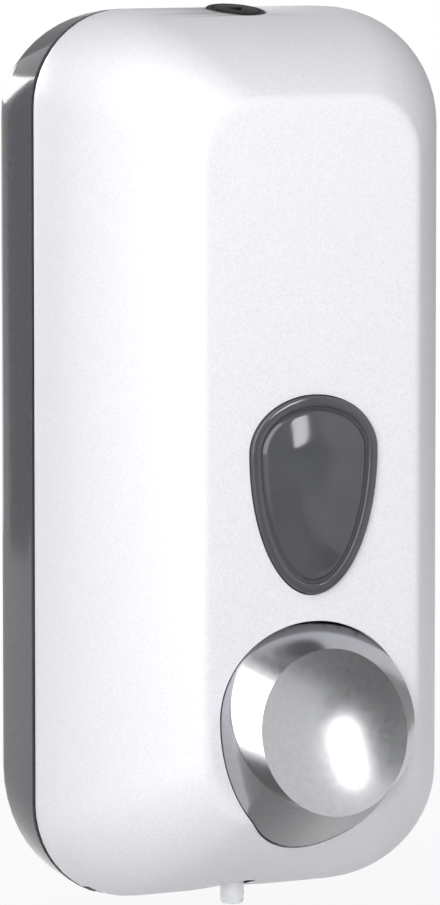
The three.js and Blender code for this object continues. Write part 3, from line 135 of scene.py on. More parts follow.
def rounded_outline(half, low, high, top, bottom, depth):
    middle = (low + high) / 2 + BASE
    stand = {"rotation": (math.pi / 2, 0, 0), "location": (0, -depth, middle)}
    ring = start(bpy.ops.mesh.primitive_plane_add, scale=(2 * half, high - low, 1), size=1, **stand)
    edit(ring)
    for corner, side in ((top, 1), (bottom, -1)):
        pick(ring, lambda p: (p.z - middle) * side > 0)
        bpy.ops.mesh.bevel(affect="VERTICES", offset=corner.y, segments=CORNER_STEPS)
    for corner, side in ((top, 1), (bottom, -1)):
        end = (high if side > 0 else low) + BASE
        for way in (-1, 1):
            near = lambda p: (
                p.x * way > half - corner.y - SLACK and (end - p.z) * side < corner.y + SLACK
            )
            pick(ring, near)
            stretch = corner.x / corner.y
            bpy.ops.transform.resize(value=(stretch, 1, 1), center_override=(way * half, -depth, end))
    finish_edit()
    return ring


# %% [markdown]
# Bridging needs to know which two outlines it joins, so each outline gets a vertex group before they are
# joined into one mesh. The groups survive the join, and the bridge then takes two at a time. It can't tell
# which way round two outlines run when one lies flat inside the other, so all of them are first pulled apart
# along the axis, like a telescope, and pushed back afterwards. The ends are closed with one face each, or
# bridged to each other where the piece is a tube. Sharp edges that are soft on the real piece are bevelled
# while their outline can still be picked by its full weight in its group. A piece whose faces came out
# pointing inwards has a negative volume, and is flipped.


# %% Lofting
APART = 60 * MM
FORWARD = Vector((0, -1, 0))
FULL_WEIGHT = 0.99
EDGE_STEPS = 3


def join(name, pieces):
    take(*pieces)
    bpy.ops.object.join()
    piece = bpy.context.object
    piece.name = piece.data.name = name
    return piece


def loft(name, rings, tube=False, soften={}, axis=FORWARD):
    for number, ring in enumerate(rings):
        group = ring.vertex_groups.new(name=f"ring {number}")
        group.add(range(len(ring.data.vertices)), 1, "REPLACE")
        ring.location = axis * APART * number
    bpy.context.view_layer.update()
    piece = join(name, rings)
    edit(piece)
    bpy.ops.mesh.select_all(action="SELECT")
    bpy.ops.mesh.delete(type="ONLY_FACE")

    def pick_rings(*numbers):
        groups = [piece.vertex_groups[f"ring {number}"].index for number in numbers]
        mesh = bmesh.from_edit_mesh(piece.data)
        weights = mesh.verts.layers.deform.active
        bpy.ops.mesh.select_all(action="DESELECT")
        for vertex in mesh.verts:
            vertex.select_set(any(vertex[weights].get(group, 0) > FULL_WEIGHT for group in groups))
        mesh.select_flush(True)
        bmesh.update_edit_mesh(piece.data)

    last = len(rings) - 1
    for number in range(last):
        pick_rings(number, number + 1)
        bpy.ops.mesh.bridge_edge_loops()
    pick_rings(0, last)
    if tube:
        bpy.ops.mesh.bridge_edge_loops()
    else:
        for end in (0, last):
            pick_rings(end)
            bpy.ops.mesh.edge_face_add()
    for number in range(1, last + 1):
        pick_rings(number)
        bpy.ops.transform.translate(value=axis * -APART * number)
    for number, width in soften.items():
        pick_rings(number)
        bpy.ops.mesh.bevel(affect="EDGES", offset=width, segments=EDGE_STEPS)
    bpy.ops.mesh.select_all(action="SELECT")
    bpy.ops.mesh.normals_make_consistent(inside=False)
    if bmesh.from_edit_mesh(piece.data).calc_volume(signed=True) < 0:
        bpy.ops.mesh.flip_normals()
    finish_edit()
    piece.vertex_groups.clear()
    return piece


# %% [markdown]
# Pieces are cut and joined with the Boolean modifier, which is applied at once. The imported parts are left as
# they are, and a copy of a part's mesh is changed instead, once its loose triangles are merged. The copies
# bring along the bosses, ears and hinge arms that sit inside, so that the fine skin only has to be drawn once.


# %% Helpers for cutting and joining
def combine(piece, tools, operation):
    for tool in tools:
        step = piece.modifiers.new(operation, "BOOLEAN")
        step.operation = operation
        step.solver = "EXACT"
        step.object = tool
        take(piece)
        bpy.ops.object.modifier_apply(modifier=step.name)
        bpy.data.objects.remove(tool)
    return piece


def packed_copy(node):
    copy = frame["nodes"][node].copy()
    copy.data = copy.data.copy()
    copy.parent = None
    for key in list(copy.keys()):
        del copy[key]
    copy.vertex_groups.clear()
    bpy.context.scene.collection.objects.link(copy)
    edit(copy)
    bpy.ops.mesh.select_all(action="SELECT")
    bpy.ops.mesh.remove_doubles(threshold=SLACK)
    finish_edit()
    return copy


def block(x0, x1, depth0, depth1, height0, height1):
    size = (x1 - x0, depth1 - depth0, height1 - height0)
    middle = ((x0 + x1) / 2, -(depth0 + depth1) / 2, (height0 + height1) / 2 + BASE)
    return start(bpy.ops.mesh.primitive_cube_add, scale=size, size=1, location=middle)


MOULDED_ANGLE, CAP_ANGLE, TURNED_ANGLE = 30, 24, 35


def smooth(piece, degrees=MOULDED_ANGLE):
    take(piece)
    bpy.ops.object.shade_smooth_by_angle(angle=math.radians(degrees))
    return piece


# %% [markdown]
# The cover's wall starts at right angles to the seam and leans in along an arc until it meets the panel.
# The function below says how far it has leaned in at a depth. The last few outlines round the edge
# between wall and panel, which is soft on the real moulding.

# %% The cover's outline at a depth
PANEL_ROUND = 1.6 * MM
CROWN_RINGS = 22
PANEL_ROUND_RINGS = 5


def crown_drop(depth, start_depth, front, total):
    run = front - start_depth
    radius = (run * run + total * total) / (2 * total)
    gone = min(max(depth - start_depth, 0), run)
    return radius - math.sqrt(radius * radius - gone * gone)


def cover_sides(depth, inset=0.0):
    front = PANEL_DEPTH - inset
    side = crown_drop(depth, SIDE_CROWN_START, front, HALF_WIDTH - PANEL_HALF_WIDTH)
    low = crown_drop(depth, BOTTOM_CROWN_START, front, PANEL_BOTTOM)
    high = BODY_HEIGHT - crown_drop(depth, TOP_CROWN_START, front, PANEL_TOP_DROP)
    return Vector((HALF_WIDTH - side, low, high, depth))


def cover_outline(sides, inset=0.0):
    half, low, high, depth = sides
    share = min((HALF_WIDTH - half) / (HALF_WIDTH - PANEL_HALF_WIDTH), 1)
    top = SEAM_CORNER_TOP.lerp(PANEL_CORNER, share)
    bottom = SEAM_CORNER_BOTTOM.lerp(PANEL_CORNER, share)
    shrink = Vector((inset, inset))
    ends = (half - inset, low + inset, high - inset)
    return rounded_outline(*ends, top - shrink, bottom - shrink, depth)


# %% [markdown]
# Two forms come from those outlines. The outer one is the cover as the hand feels it, with its panel edge
# rounded. The inner one hollows it out. The outer form may start behind the seam and be drawn in a little,
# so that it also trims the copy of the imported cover, whose hinge eyes reach back past the seam: the copy then
# lies just under the skin, and the two never share a surface.

# %% The cover's outer and inner forms
THIN = 1.6 * MM
TRIM = 0.1 * MM
REACH_BACK = 6 * MM
HOLLOW_RINGS = 16


def crown_rings(first, last, inset=0.0, rings=CROWN_RINGS):
    depths = [first + (last - first) * i / rings for i in range(rings + 1)]
    return [cover_outline(cover_sides(depth, inset), inset) for depth in depths]


def panel_edge_rings(last, inset):
    begin, crease = cover_sides(last, inset), cover_sides(PANEL_DEPTH - inset, inset)
    end = crease + Vector((-PANEL_ROUND, PANEL_ROUND, -PANEL_ROUND, 0))
    shares = [i / PANEL_ROUND_RINGS for i in range(1, PANEL_ROUND_RINGS + 1)]
    curve = [begin * (1 - t) ** 2 + crease * 2 * t * (1 - t) + end * t * t for t in shares]
    return [cover_outline(sides, inset) for sides in curve]


def outer_form(name, reach_back=0.0, inset=0.0):
    last = PANEL_DEPTH - PANEL_ROUND / 2 - inset
    edge = cover_sides(SEAM_DEPTH, inset)
    if reach_back:
        rings = [cover_outline(edge - Vector((0, 0, 0, reach_back)), inset)]
        rings += crown_rings(SEAM_DEPTH, last, inset)
    else:
        rings = [cover_outline(edge - Vector((0, 0, 0, TRIM / 2)), COVER_EDGE_ROUND / 2)]
        rings += crown_rings(SEAM_DEPTH + COVER_EDGE_ROUND, last)
    return loft(name, rings + panel_edge_rings(last, inset))


skin = outer_form("cover_skin")
hollow_rings = crown_rings(SEAM_DEPTH - REACH_BACK, PANEL_DEPTH - THIN, THIN, HOLLOW_RINGS)
hollow = loft("cover_hollow", hollow_rings)
trim = outer_form("trim", REACH_BACK, TRIM)
combine(skin, [hollow], "DIFFERENCE")
print("cover skin:", len(skin.data.polygons), "faces")

# %% [markdown]
# Under the button the crown is scooped out a little, so that the hand that waits for the soap finds
# room, and the scoop's rim shows as a fine arch. The cutter is a grid laid along the crown. Every point of
# it is lifted into the wall by a dome's height, which is nothing at the rim, and then the grid is extruded
# downwards into a solid.

# %% Scoop the lower crown
SCOOP_DEEP, SCOOP_HALF_WIDTH = 1.1 * MM, 15 * MM
SCOOP_MIDDLE, SCOOP_HALF_LENGTH = 34 * MM, 16.5 * MM
SCOOP_STEPS, SCOOP_CUT = 32, 20 * MM


def scoop_form(name, extra=0.0):
    size = (2 * SCOOP_HALF_WIDTH, 2 * SCOOP_HALF_LENGTH, 1)
    grid = {"x_subdivisions": SCOOP_STEPS, "y_subdivisions": SCOOP_STEPS, "size": 1}
    form = start(bpy.ops.mesh.primitive_grid_add, size, location=(0, -SCOOP_MIDDLE, 0), **grid)
    form.name = name
    edit(form)
    mesh = bmesh.from_edit_mesh(form.data)
    for vertex in mesh.verts:
        across = vertex.co.x / SCOOP_HALF_WIDTH
        along = (-vertex.co.y - SCOOP_MIDDLE) / SCOOP_HALF_LENGTH
        crown = crown_drop(-vertex.co.y, BOTTOM_CROWN_START, PANEL_DEPTH, PANEL_BOTTOM)
        vertex.co.z = BASE + crown + SCOOP_DEEP * (1 - across**2 - along**2) + extra
    bmesh.update_edit_mesh(form.data)
    bpy.ops.mesh.select_all(action="SELECT")
    bpy.ops.mesh.extrude_region_move(TRANSFORM_OT_translate={"value": (0, 0, -SCOOP_CUT)})
    bpy.ops.mesh.select_all(action="SELECT")
    bpy.ops.mesh.normals_make_consistent(inside=False)
    finish_edit()
    return form


combine(skin, [scoop_form("scoop")], "DIFFERENCE")
combine(trim, [scoop_form("scoop_trim", TRIM)], "DIFFERENCE")
print("scooped skin:", len(skin.data.polygons), "faces")

# %% [markdown]
# Along the lower edge the cover stops short of the shell, so that the hinge shows and the nozzle clears the
# cover as it swings. The same three cuts are made in the skin: a block, the round the hinge eyes need,
# and a slot for the nozzle.

# %% Cut the hinge relief and the nozzle slot
HINGE_DEPTH, HINGE_HEIGHT = 16.7 * MM, 3.25 * MM
KNUCKLE_RADIUS, KNUCKLE_GAP = 3.05 * MM, 0.45 * MM
RELIEF_HALF = 38.5 * MM
OUTLET_DEPTH = 23 * MM
NOZZLE_RADIUS, NOZZLE_TIP = 2.9 * MM, -2.9 * MM
OVERRUN = 3 * MM
ROUND_STEPS = 48

reach = KNUCKLE_RADIUS + KNUCKLE_GAP
behind = block(-RELIEF_HALF, RELIEF_HALF, SEAM_DEPTH - OVERRUN, HINGE_DEPTH, -OVERRUN, HINGE_HEIGHT + reach)
hinge_round = start(
    bpy.ops.mesh.primitive_cylinder_add,
    vertices=ROUND_STEPS,
    radius=reach,
    depth=2 * RELIEF_HALF,
    rotation=(0, math.pi / 2, 0),
    location=(0, -HINGE_DEPTH, BASE + HINGE_HEIGHT),
)
nozzle_front = OUTLET_DEPTH + NOZZLE_RADIUS - HINGE_DEPTH
slot_reach = math.hypot(nozzle_front, HINGE_HEIGHT - NOZZLE_TIP) + 2 * KNUCKLE_GAP
slot_half = NOZZLE_RADIUS + 2 * KNUCKLE_GAP
slot = block(-slot_half, slot_half, HINGE_DEPTH, HINGE_DEPTH + slot_reach, -OVERRUN, 2 * HINGE_HEIGHT)
combine(skin, [behind, hinge_round, slot], "DIFFERENCE")
print("skin cut for the hinge:", len(skin.data.polygons), "faces")

# %% [markdown]
# The window and the button fill two egg-shaped openings. An egg starts as a circle whose upper and lower
# halves are stretched by different amounts about its widest line.

# %% Egg outlines
EGG_STEPS = 96
OPENING = (25.6 * MM, 48.6 * MM, 22.4 * MM, 33 * MM)
WINDOW = (17.65 * MM, 111.7 * MM, 13.6 * MM, 34.5 * MM)


def egg_ring(egg, offset, depth):
    half, middle, above, below = egg
    half, above, below = half + offset, above + offset, below + offset
    stand = {"rotation": (math.pi / 2, 0, 0), "location": (0, -depth, middle + BASE)}
    ring = start(bpy.ops.mesh.primitive_circle_add, vertices=EGG_STEPS, radius=half, **stand)
    edit(ring)
    for side, height in ((1, above), (-1, below)):
        pick(ring, lambda p: (p.z - middle - BASE) * side > SLACK)
        centre = (0, -depth, middle + BASE)
        bpy.ops.transform.resize(value=(1, 1, height / half), center_override=centre)
    finish_edit()
    return ring


def egg_prism(name, egg, offset, from_depth, to_depth):
    return loft(name, [egg_ring(egg, offset, from_depth), egg_ring(egg, offset, to_depth)])


# %% [markdown]
# Some outlines have to lie on the cover itself, also where it falls away below the panel. Such an egg is held
# in front of the cover and dropped onto it with a Shrinkwrap modifier, as one would lay a wire on the
# real moulding, and then raised or sunk a little.

# %% Eggs dropped onto the cover
HELD_OFF = 20 * MM
drop_form = outer_form("drop_form", REACH_BACK)


def dropped_ring(offset, lift):
    ring = egg_ring(OPENING, offset, PANEL_DEPTH + HELD_OFF)
    wrap = ring.modifiers.new("drop", "SHRINKWRAP")
    wrap.target = drop_form
    wrap.wrap_method = "PROJECT"
    wrap.use_project_y = True
    wrap.use_positive_direction = True
    wrap.use_negative_direction = False
    take(ring)
    bpy.ops.object.modifier_apply(modifier=wrap.name)
    edit(ring)
    pick(ring, lambda p: True)
    bpy.ops.transform.translate(value=(0, -lift, 0))
    finish_edit()
    return ring


# %% [markdown]
# The lower edge of the button's opening stands up in a sill, a wedge that fades into the crown on both
# sides. It is a tube of four such rings. The one along its crest has its lower part pulled
# forward, more the lower it lies, and the rest of the tube stays hidden in the wall.

# %% The sill under the button
SILL_INSET, SILL_WIDTH, SILL_SINK, SILL_ROOT = 0.3 * MM, 2.6 * MM, 0.15 * MM, 1 * MM
SILL_END_HEIGHT, SILL_END_DEPTH, SILL_SHARE = 22.6 * MM, 61.5 * MM, 0.77


def pull_forward(ring):
    edit(ring)
    pick(ring, lambda p: p.z < SILL_END_HEIGHT + BASE)
    sill_end = (0, -SILL_END_DEPTH, SILL_END_HEIGHT + BASE)
    bpy.ops.transform.resize(value=(1, SILL_SHARE, 1), center_override=sill_end)
    finish_edit()
    return ring


sill_outer = SILL_INSET + SILL_WIDTH
sill_rings = [dropped_ring(SILL_INSET, -SILL_ROOT), pull_forward(dropped_ring(SILL_INSET, -SILL_SINK))]
sill_rings += [dropped_ring(sill_outer, -SILL_SINK), dropped_ring(sill_outer, -SILL_ROOT)]
sill = loft("sill", sill_rings, tube=True)
print("sill:", len(sill.data.polygons), "faces")

# %% [markdown]
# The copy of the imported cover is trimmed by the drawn-in form and joined to the skin and the sill. Then the
# two eggs and the lock's round seat are cut through them at once, so the openings are as finely
# curved as the outside. The lock stands square to the sloping roof.

# %% Join the cover and cut its openings
BUTTON_BACK = 46 * MM
LOCK_DEPTH, LOCK_HEIGHT, LOCK_TILT = 24.7 * MM, 214.9 * MM, math.radians(10.5)
COLLAR_RADIUS, COLLAR_TUBE, COLLAR_SEAT, COLLAR_RISE = 7.4 * MM, 5.2 * MM, 0.9 * MM, 0.8 * MM
COLLAR_LENGTH = 8.6 * MM
LOCK_STEPS = 72
SEAT_GAP = 0.3 * MM
COVER_WALL = 2.2 * MM
INSIDE_FACE = PANEL_DEPTH - COVER_WALL
LOCK_AXIS = Vector((0, -math.sin(LOCK_TILT), math.cos(LOCK_TILT)))
LOCK_ORIGIN = Vector((0, -LOCK_DEPTH, LOCK_HEIGHT + BASE))


def lock_rod(radius, low, high):
    centre = LOCK_ORIGIN + LOCK_AXIS * (low + high) / 2
    place = {"rotation": (LOCK_TILT, 0, 0), "location": centre}
    rod = {"vertices": LOCK_STEPS, "radius": radius, "depth": high - low}
    return start(bpy.ops.mesh.primitive_cylinder_add, **rod, **place)


cover = packed_copy("front_cover")
combine(cover, [trim], "INTERSECT")
combine(cover, [skin, sill], "UNION")
window_cut = egg_prism("window_cut", WINDOW, 0, INSIDE_FACE - OVERRUN, PANEL_DEPTH + OVERRUN)
button_cut = egg_prism("button_cut", OPENING, 0, BUTTON_BACK, PANEL_DEPTH + OVERRUN)
lock_hole = lock_rod(COLLAR_TUBE + SEAT_GAP, -COLLAR_LENGTH, COLLAR_LENGTH)
lock_seat = lock_rod(COLLAR_RADIUS + SEAT_GAP, -COLLAR_SEAT, COLLAR_LENGTH)
combine(cover, [window_cut, button_cut, lock_hole, lock_seat], "DIFFERENCE")
cover.name = cover.data.name = "cover_moulding"
smooth(cover)
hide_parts("front_cover")
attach(cover, "cover")
print("cover:", len(cover.data.polygons), "faces")

# %% [markdown]
# The back shell is a tray whose corners are rounder at the wall than at the seam, and whose sides swell a
# little in between. Only its outer wall shows, so a fine band is made for it: outlines up the outside, back
# down the inside, bridged into a closed tube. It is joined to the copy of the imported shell, which has the
# floor, the posts and the hinge.

# %% The shell's band
SHELL_ROUND = 0.9 * MM
BACK_FLARE, BACK_SWELL, BACK_TOP_DROP = 0.4 * MM, 0.2 * MM, 0.7 * MM
BACK_CORNER_TOP = Vector((31.8, 25.1)) * MM
BACK_CORNER_BOTTOM = Vector((30.7, 32.4)) * MM
SEAM_FRONT = SEAM_DEPTH - SEAM_GAP


def shell_outline(depth, inset):
    share = depth / SEAM_DEPTH
    seam_low = crown_drop(SEAM_DEPTH, BOTTOM_CROWN_START, PANEL_DEPTH, PANEL_BOTTOM)
    shrink = Vector((inset, inset))
    top = BACK_CORNER_TOP.lerp(SEAM_CORNER_TOP, share) - shrink
    bottom = BACK_CORNER_BOTTOM.lerp(SEAM_CORNER_BOTTOM, share) - shrink
    half = HALF_WIDTH + (BACK_FLARE + BACK_SWELL * 4 * share) * (1 - share) - inset
    low = seam_low * share + inset
    high = BODY_HEIGHT - BACK_TOP_DROP * (1 - share) - inset
    return rounded_outline(half, low, high, top, bottom, depth)


BAND_STEPS = 8
turns = [math.radians(angle) for angle in (0, 30, 60, 90)]
edge = [(SHELL_ROUND * (1 - math.cos(turn)), SHELL_ROUND * (1 - math.sin(turn))) for turn in turns]
band_rings = [shell_outline(depth, inset) for depth, inset in edge]
band_rings += [shell_outline(SEAM_FRONT * i / BAND_STEPS, 0) for i in range(1, BAND_STEPS)]
band_front = SEAM_FRONT + TRIM / 2
band_rings += [shell_outline(band_front, 0), shell_outline(band_front, THIN)]
band_rings += [shell_outline(SHELL_ROUND, THIN), shell_outline(0, 2 * THIN)]
band = loft("shell_band", band_rings, tube=True)
rebate_back = HINGE_DEPTH - HINGE_HEIGHT
rebate_box = (-RELIEF_HALF, RELIEF_HALF, rebate_back, SEAM_DEPTH + OVERRUN, -OVERRUN, KNUCKLE_RADIUS / 2)
combine(band, [block(*rebate_box)], "DIFFERENCE")
limit_rings = [shell_outline(0, SHELL_ROUND + TRIM), shell_outline(SHELL_ROUND, TRIM)]
limit_rings += [shell_outline(SEAM_FRONT, TRIM), cover_outline(cover_sides(2 * SEAM_DEPTH), TRIM)]
shell = combine(packed_copy("back_shell"), [loft("limit", limit_rings)], "INTERSECT")
combine(shell, [band], "UNION")
shell.name = shell.data.name = "shell_moulding"
smooth(shell)
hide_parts("back_shell")
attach(shell, "wall_side")
print("shell:", len(shell.data.polygons), "faces")

# %% [markdown]
# A thin black strip in the rubber finish lies on the shell's front edge. It is painted shade: it stands in for
# the shadow in the seam's gap and makes the seam a dark line. It is lofted from four outlines of the shell and
# cut away above the hinge as the band is.

# %% The painted shade strip in the seam
SHADE_STRIP_INSET, SHADE_STRIP_RISE = 0.35 * MM, 0.4 * MM
shade_strip_profile = [(0, SHADE_STRIP_INSET), (SHADE_STRIP_RISE, SHADE_STRIP_INSET), (SHADE_STRIP_RISE, THIN), (0, THIN)]
shade_strip = loft("seam_shade_strip", [shell_outline(SEAM_FRONT + rise, inset) for rise, inset in shade_strip_profile], tube=True)
combine(shade_strip, [block(*rebate_box)], "DIFFERENCE")
smooth(shade_strip)
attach(shade_strip, "wall_side")
print("seal:", len(shade_strip.data.polygons), "faces")

# %% [markdown]
# The push button is a chromed cap. A round dish for the fingers leans back in a rim. From the rim a short
# cone widens to a crease, and below the crease a long chin runs down to the cover's own surface. The
# rim and the crease are circles in leaning planes.

# %% The button's round outlines
BUTTON_GAP, BUTTON_WALL = 0.22 * MM, 2 * MM
CREASE_HALF_WIDTH, CREASE_HALF_HEIGHT = 25.2 * MM, 22.1 * MM
CREASE_DEPTH, CREASE_SLOPE = 67.2 * MM, 0.35
CHIN_LIFT = 0.4 * MM
RIM_RADIUS, RIM_HEIGHT, RIM_DEPTH = 20 * MM, 45.4 * MM, 72.6 * MM
RIM_TILT = math.radians(9.6)
DISH_HOLLOW = 2.7 * MM
DISH_STEPS = 12
CREASE_ROUND = 0.3 * MM


def round_ring(half_width, half_height, depth, height, tilt):
    stand = {"rotation": (math.pi / 2 - tilt, 0, 0), "location": (0, -depth, height + BASE)}
    size = (1, half_height / half_width, 1)
    return start(bpy.ops.mesh.primitive_circle_add, size, vertices=EGG_STEPS, radius=half_width, **stand)


def rim_ring(radius, sink):
    depth = RIM_DEPTH - sink * math.cos(RIM_TILT)
    return round_ring(radius, radius, depth, RIM_HEIGHT - sink * math.sin(RIM_TILT), RIM_TILT)


def crease_ring(inset):
    tilt = math.atan(CREASE_SLOPE)
    half_height = (CREASE_HALF_HEIGHT - inset) / math.cos(tilt)
    return round_ring(CREASE_HALF_WIDTH - inset, half_height, CREASE_DEPTH - inset, OPENING[1], tilt)


def dish_rings(radius, sink):
    shares = [i / DISH_STEPS for i in range(1, DISH_STEPS)]
    return [rim_ring(radius * s, sink + DISH_HOLLOW * (1 - s * s)) for s in shares]


# %% [markdown]
# The chin has to meet the cover all round, so its outline is dropped onto the cover as well, and its lower
# part is pulled forward as the sill is. Above the middle it leans back with the crease, to stay behind it.

# %% The chin's outline on the cover
def chin_ring(inset, lift):
    ring = pull_forward(dropped_ring(-BUTTON_GAP - inset, lift))
    edit(ring)
    fold = OPENING[1] + (CREASE_DEPTH - CHIN_LIFT - PANEL_DEPTH - CHIN_LIFT) / CREASE_SLOPE
    pivot = (0, -PANEL_DEPTH - lift, fold + BASE)
    lean = math.atan(CREASE_SLOPE)
    pick(ring, lambda p: p.z > fold + BASE)
    bpy.ops.transform.rotate(value=lean, orient_axis="X", center_override=pivot)
    bpy.ops.transform.resize(value=(1, 1, 1 / math.cos(lean)), center_override=pivot)
    finish_edit()
    return ring


# %% [markdown]
# The cap's outlines run from the middle of the dish to its rim, over the crease and the chin to the back
# edge, and return inside the wall. The crease is soft on the real cap, so it is bevelled.

# %% Loft the button cap
outside = dish_rings(RIM_RADIUS, 0) + [rim_ring(RIM_RADIUS, 0), crease_ring(0), chin_ring(0, CHIN_LIFT)]
crease_number = len(outside) - 2
outside += [egg_ring(OPENING, -BUTTON_GAP, BUTTON_BACK)]
inside = [egg_ring(OPENING, -BUTTON_GAP - BUTTON_WALL, BUTTON_BACK)]
inside += [chin_ring(BUTTON_WALL, CHIN_LIFT - BUTTON_WALL), crease_ring(BUTTON_WALL)]
inside += [rim_ring(RIM_RADIUS - BUTTON_WALL, BUTTON_WALL)]
inside += dish_rings(RIM_RADIUS - BUTTON_WALL, BUTTON_WALL)[::-1]
bpy.data.objects.remove(drop_form)
cap = loft("button_shell", outside + inside, soften={crease_number: CREASE_ROUND})
print("button cap:", len(cap.data.polygons), "faces")

# %% [markdown]
# Inside, two bosses take the screws that hold the cap on its carrier, and a notch lets the pivot bar
# through the upper wall. The bosses and their screw holes are pairs of cylinders laid along the depth.

# %% The cap's bosses and notch
PIVOT_DEPTH, PIVOT_HEIGHT, PIVOT_BAR = 56 * MM, 66 * MM, 2.4 * MM
CARRIER_FRONT = 57 * MM
SCREW_SPREAD, SCREW_HEIGHT = 12 * MM, 52 * MM
BOSS_RADIUS, SCREW_RADIUS, SCREW_GRIP = 3 * MM, 1.5 * MM, 6 * MM


def screw_rods(radius, from_depth, to_depth):
    rod = {"vertices": ROUND_STEPS, "radius": radius, "depth": to_depth - from_depth}
    rods = []
    for side in (-1, 1):
        middle = (side * SCREW_SPREAD, -(from_depth + to_depth) / 2, SCREW_HEIGHT + BASE)
        place = {"rotation": (math.pi / 2, 0, 0), "location": middle}
        rods.append(start(bpy.ops.mesh.primitive_cylinder_add, **rod, **place))
    return rods


boss_back = CARRIER_FRONT + SEAT_GAP
boss_front = RIM_DEPTH - DISH_HOLLOW - BUTTON_WALL / 2
combine(cap, screw_rods(BOSS_RADIUS, boss_back, boss_front), "UNION")
holes = screw_rods(SCREW_RADIUS, boss_back - OVERRUN, boss_back + SCREW_GRIP)
room = PIVOT_BAR + 2 * SEAT_GAP
notch_depths = (BUTTON_BACK - OVERRUN, PIVOT_DEPTH + room)
notch = block(-OPENING[0], OPENING[0], *notch_depths, PIVOT_HEIGHT - room, PIVOT_HEIGHT + room)
combine(cap, holes + [notch], "DIFFERENCE")
smooth(cap, CAP_ANGLE)
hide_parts("button_cap")
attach(cap, "button")
print("finished cap:", len(cap.data.polygons), "faces")

# %% [markdown]
# The window's lens has a raised rim, a fine groove inside it and a gently crowned middle. Behind the
# panel a flange holds it against its gasket. Each line of the profile is an egg ring: how far it stands
# in from the opening's edge, and how deep.

# %% The window lens
LENS_FLANGE, LENS_WALL = 2.3 * MM, 1.6 * MM
RIM_RISE, RIM_WIDTH, LENS_GROOVE, LENS_CROWN = 1.1 * MM, 2.6 * MM, 0.8 * MM, 2.3 * MM
FLANGE_SINK, FLANGE_THICK = 1.2 * MM, 1.4 * MM
FLANGE_FRONT = INSIDE_FACE - FLANGE_SINK
FLANGE_BACK = FLANGE_FRONT - FLANGE_THICK
RIM_OUTER_ROUND, RIM_INNER_ROUND, GROOVE_ROUND = 0.5 * MM, 0.25 * MM, 0.3 * MM
CROWN_STEPS = 10
lens_profile = [
    (-LENS_FLANGE, PANEL_DEPTH - LENS_WALL),
    (-LENS_FLANGE, FLANGE_BACK),
    (LENS_FLANGE, FLANGE_BACK),
    (LENS_FLANGE, FLANGE_FRONT),
    (-SEAT_GAP, FLANGE_FRONT),
    (-SEAT_GAP, PANEL_DEPTH + RIM_RISE),
    (-RIM_WIDTH, PANEL_DEPTH + RIM_RISE),
    (-RIM_WIDTH - LENS_GROOVE / 2, PANEL_DEPTH + RIM_RISE - LENS_GROOVE),
    (-RIM_WIDTH - LENS_GROOVE, PANEL_DEPTH + RIM_RISE - LENS_GROOVE),
    (-RIM_WIDTH - 2 * LENS_GROOVE, PANEL_DEPTH + RIM_RISE),
]
crown_start = RIM_WIDTH + 2 * LENS_GROOVE
for i in range(1, CROWN_STEPS):
    offset = -crown_start - i / CROWN_STEPS * (WINDOW[2] - crown_start)
    rise = math.sin(i / CROWN_STEPS * math.pi / 2) * (LENS_CROWN - RIM_RISE)
    lens_profile.append((offset, PANEL_DEPTH + RIM_RISE + rise))
lens_rings = [egg_ring(WINDOW, offset, depth) for offset, depth in lens_profile]
lens_edges = {5: RIM_OUTER_ROUND, 6: RIM_INNER_ROUND, 9: GROOVE_ROUND}
lens = loft("window_pane", lens_rings, soften=lens_edges)
smooth(lens, TURNED_ANGLE)
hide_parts("window_lens")
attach(lens, "cover")
print("lens:", len(lens.data.polygons), "faces")

# %% [markdown]
# Round pieces are lofted the same way, from circles along an axis. The first is the lock's collar, which
# sits in the roof and goes down through it as a tube.


# %% Turned pieces
def turned(name, profile, origin, tilt, tube=True, soften={}, steps=LOCK_STEPS):
    axis = Vector((0, -math.sin(tilt), math.cos(tilt)))
    rings = []
    for radius, along in profile:
        place = {"rotation": (tilt, 0, 0), "location": origin + axis * along}
        rings.append(start(bpy.ops.mesh.primitive_circle_add, vertices=steps, radius=radius, **place))
    return smooth(loft(name, rings, tube, soften, axis), TURNED_ANGLE)


BARREL_FACE, BARREL_RADIUS, BARREL_RISE = 5.6 * MM, 3.6 * MM, 0.2 * MM
BARREL_GAP = 0.1 * MM
COLLAR_ROUND, COLLAR_LIP_ROUND, BARREL_ROUND = 0.5 * MM, 0.2 * MM, 0.35 * MM
collar_inner = BARREL_RADIUS + BARREL_GAP
collar_profile = [
    (collar_inner, -COLLAR_LENGTH),
    (COLLAR_TUBE, -COLLAR_LENGTH),
    (COLLAR_TUBE, -COLLAR_SEAT + SEAT_GAP),
    (COLLAR_RADIUS, -COLLAR_SEAT + SEAT_GAP),
    (COLLAR_RADIUS, COLLAR_RISE),
    (BARREL_FACE + SEAT_GAP, COLLAR_RISE),
    (BARREL_FACE + SEAT_GAP, SEAT_GAP),
    (collar_inner, SEAT_GAP),
]
collar_edges = {4: COLLAR_ROUND, 5: COLLAR_LIP_ROUND}
collar = turned("lock_bezel", collar_profile, LOCK_ORIGIN, LOCK_TILT, soften=collar_edges)
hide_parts("lock_collar")
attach(collar, "cover")
print("lock collar:", len(collar.data.polygons), "faces")

# %% [markdown]
# The barrel's wide face lies in the collar, and its stem runs down through the cam. A plain three-sided
# recess for the key and the room for the cam's screw are cut out of it.

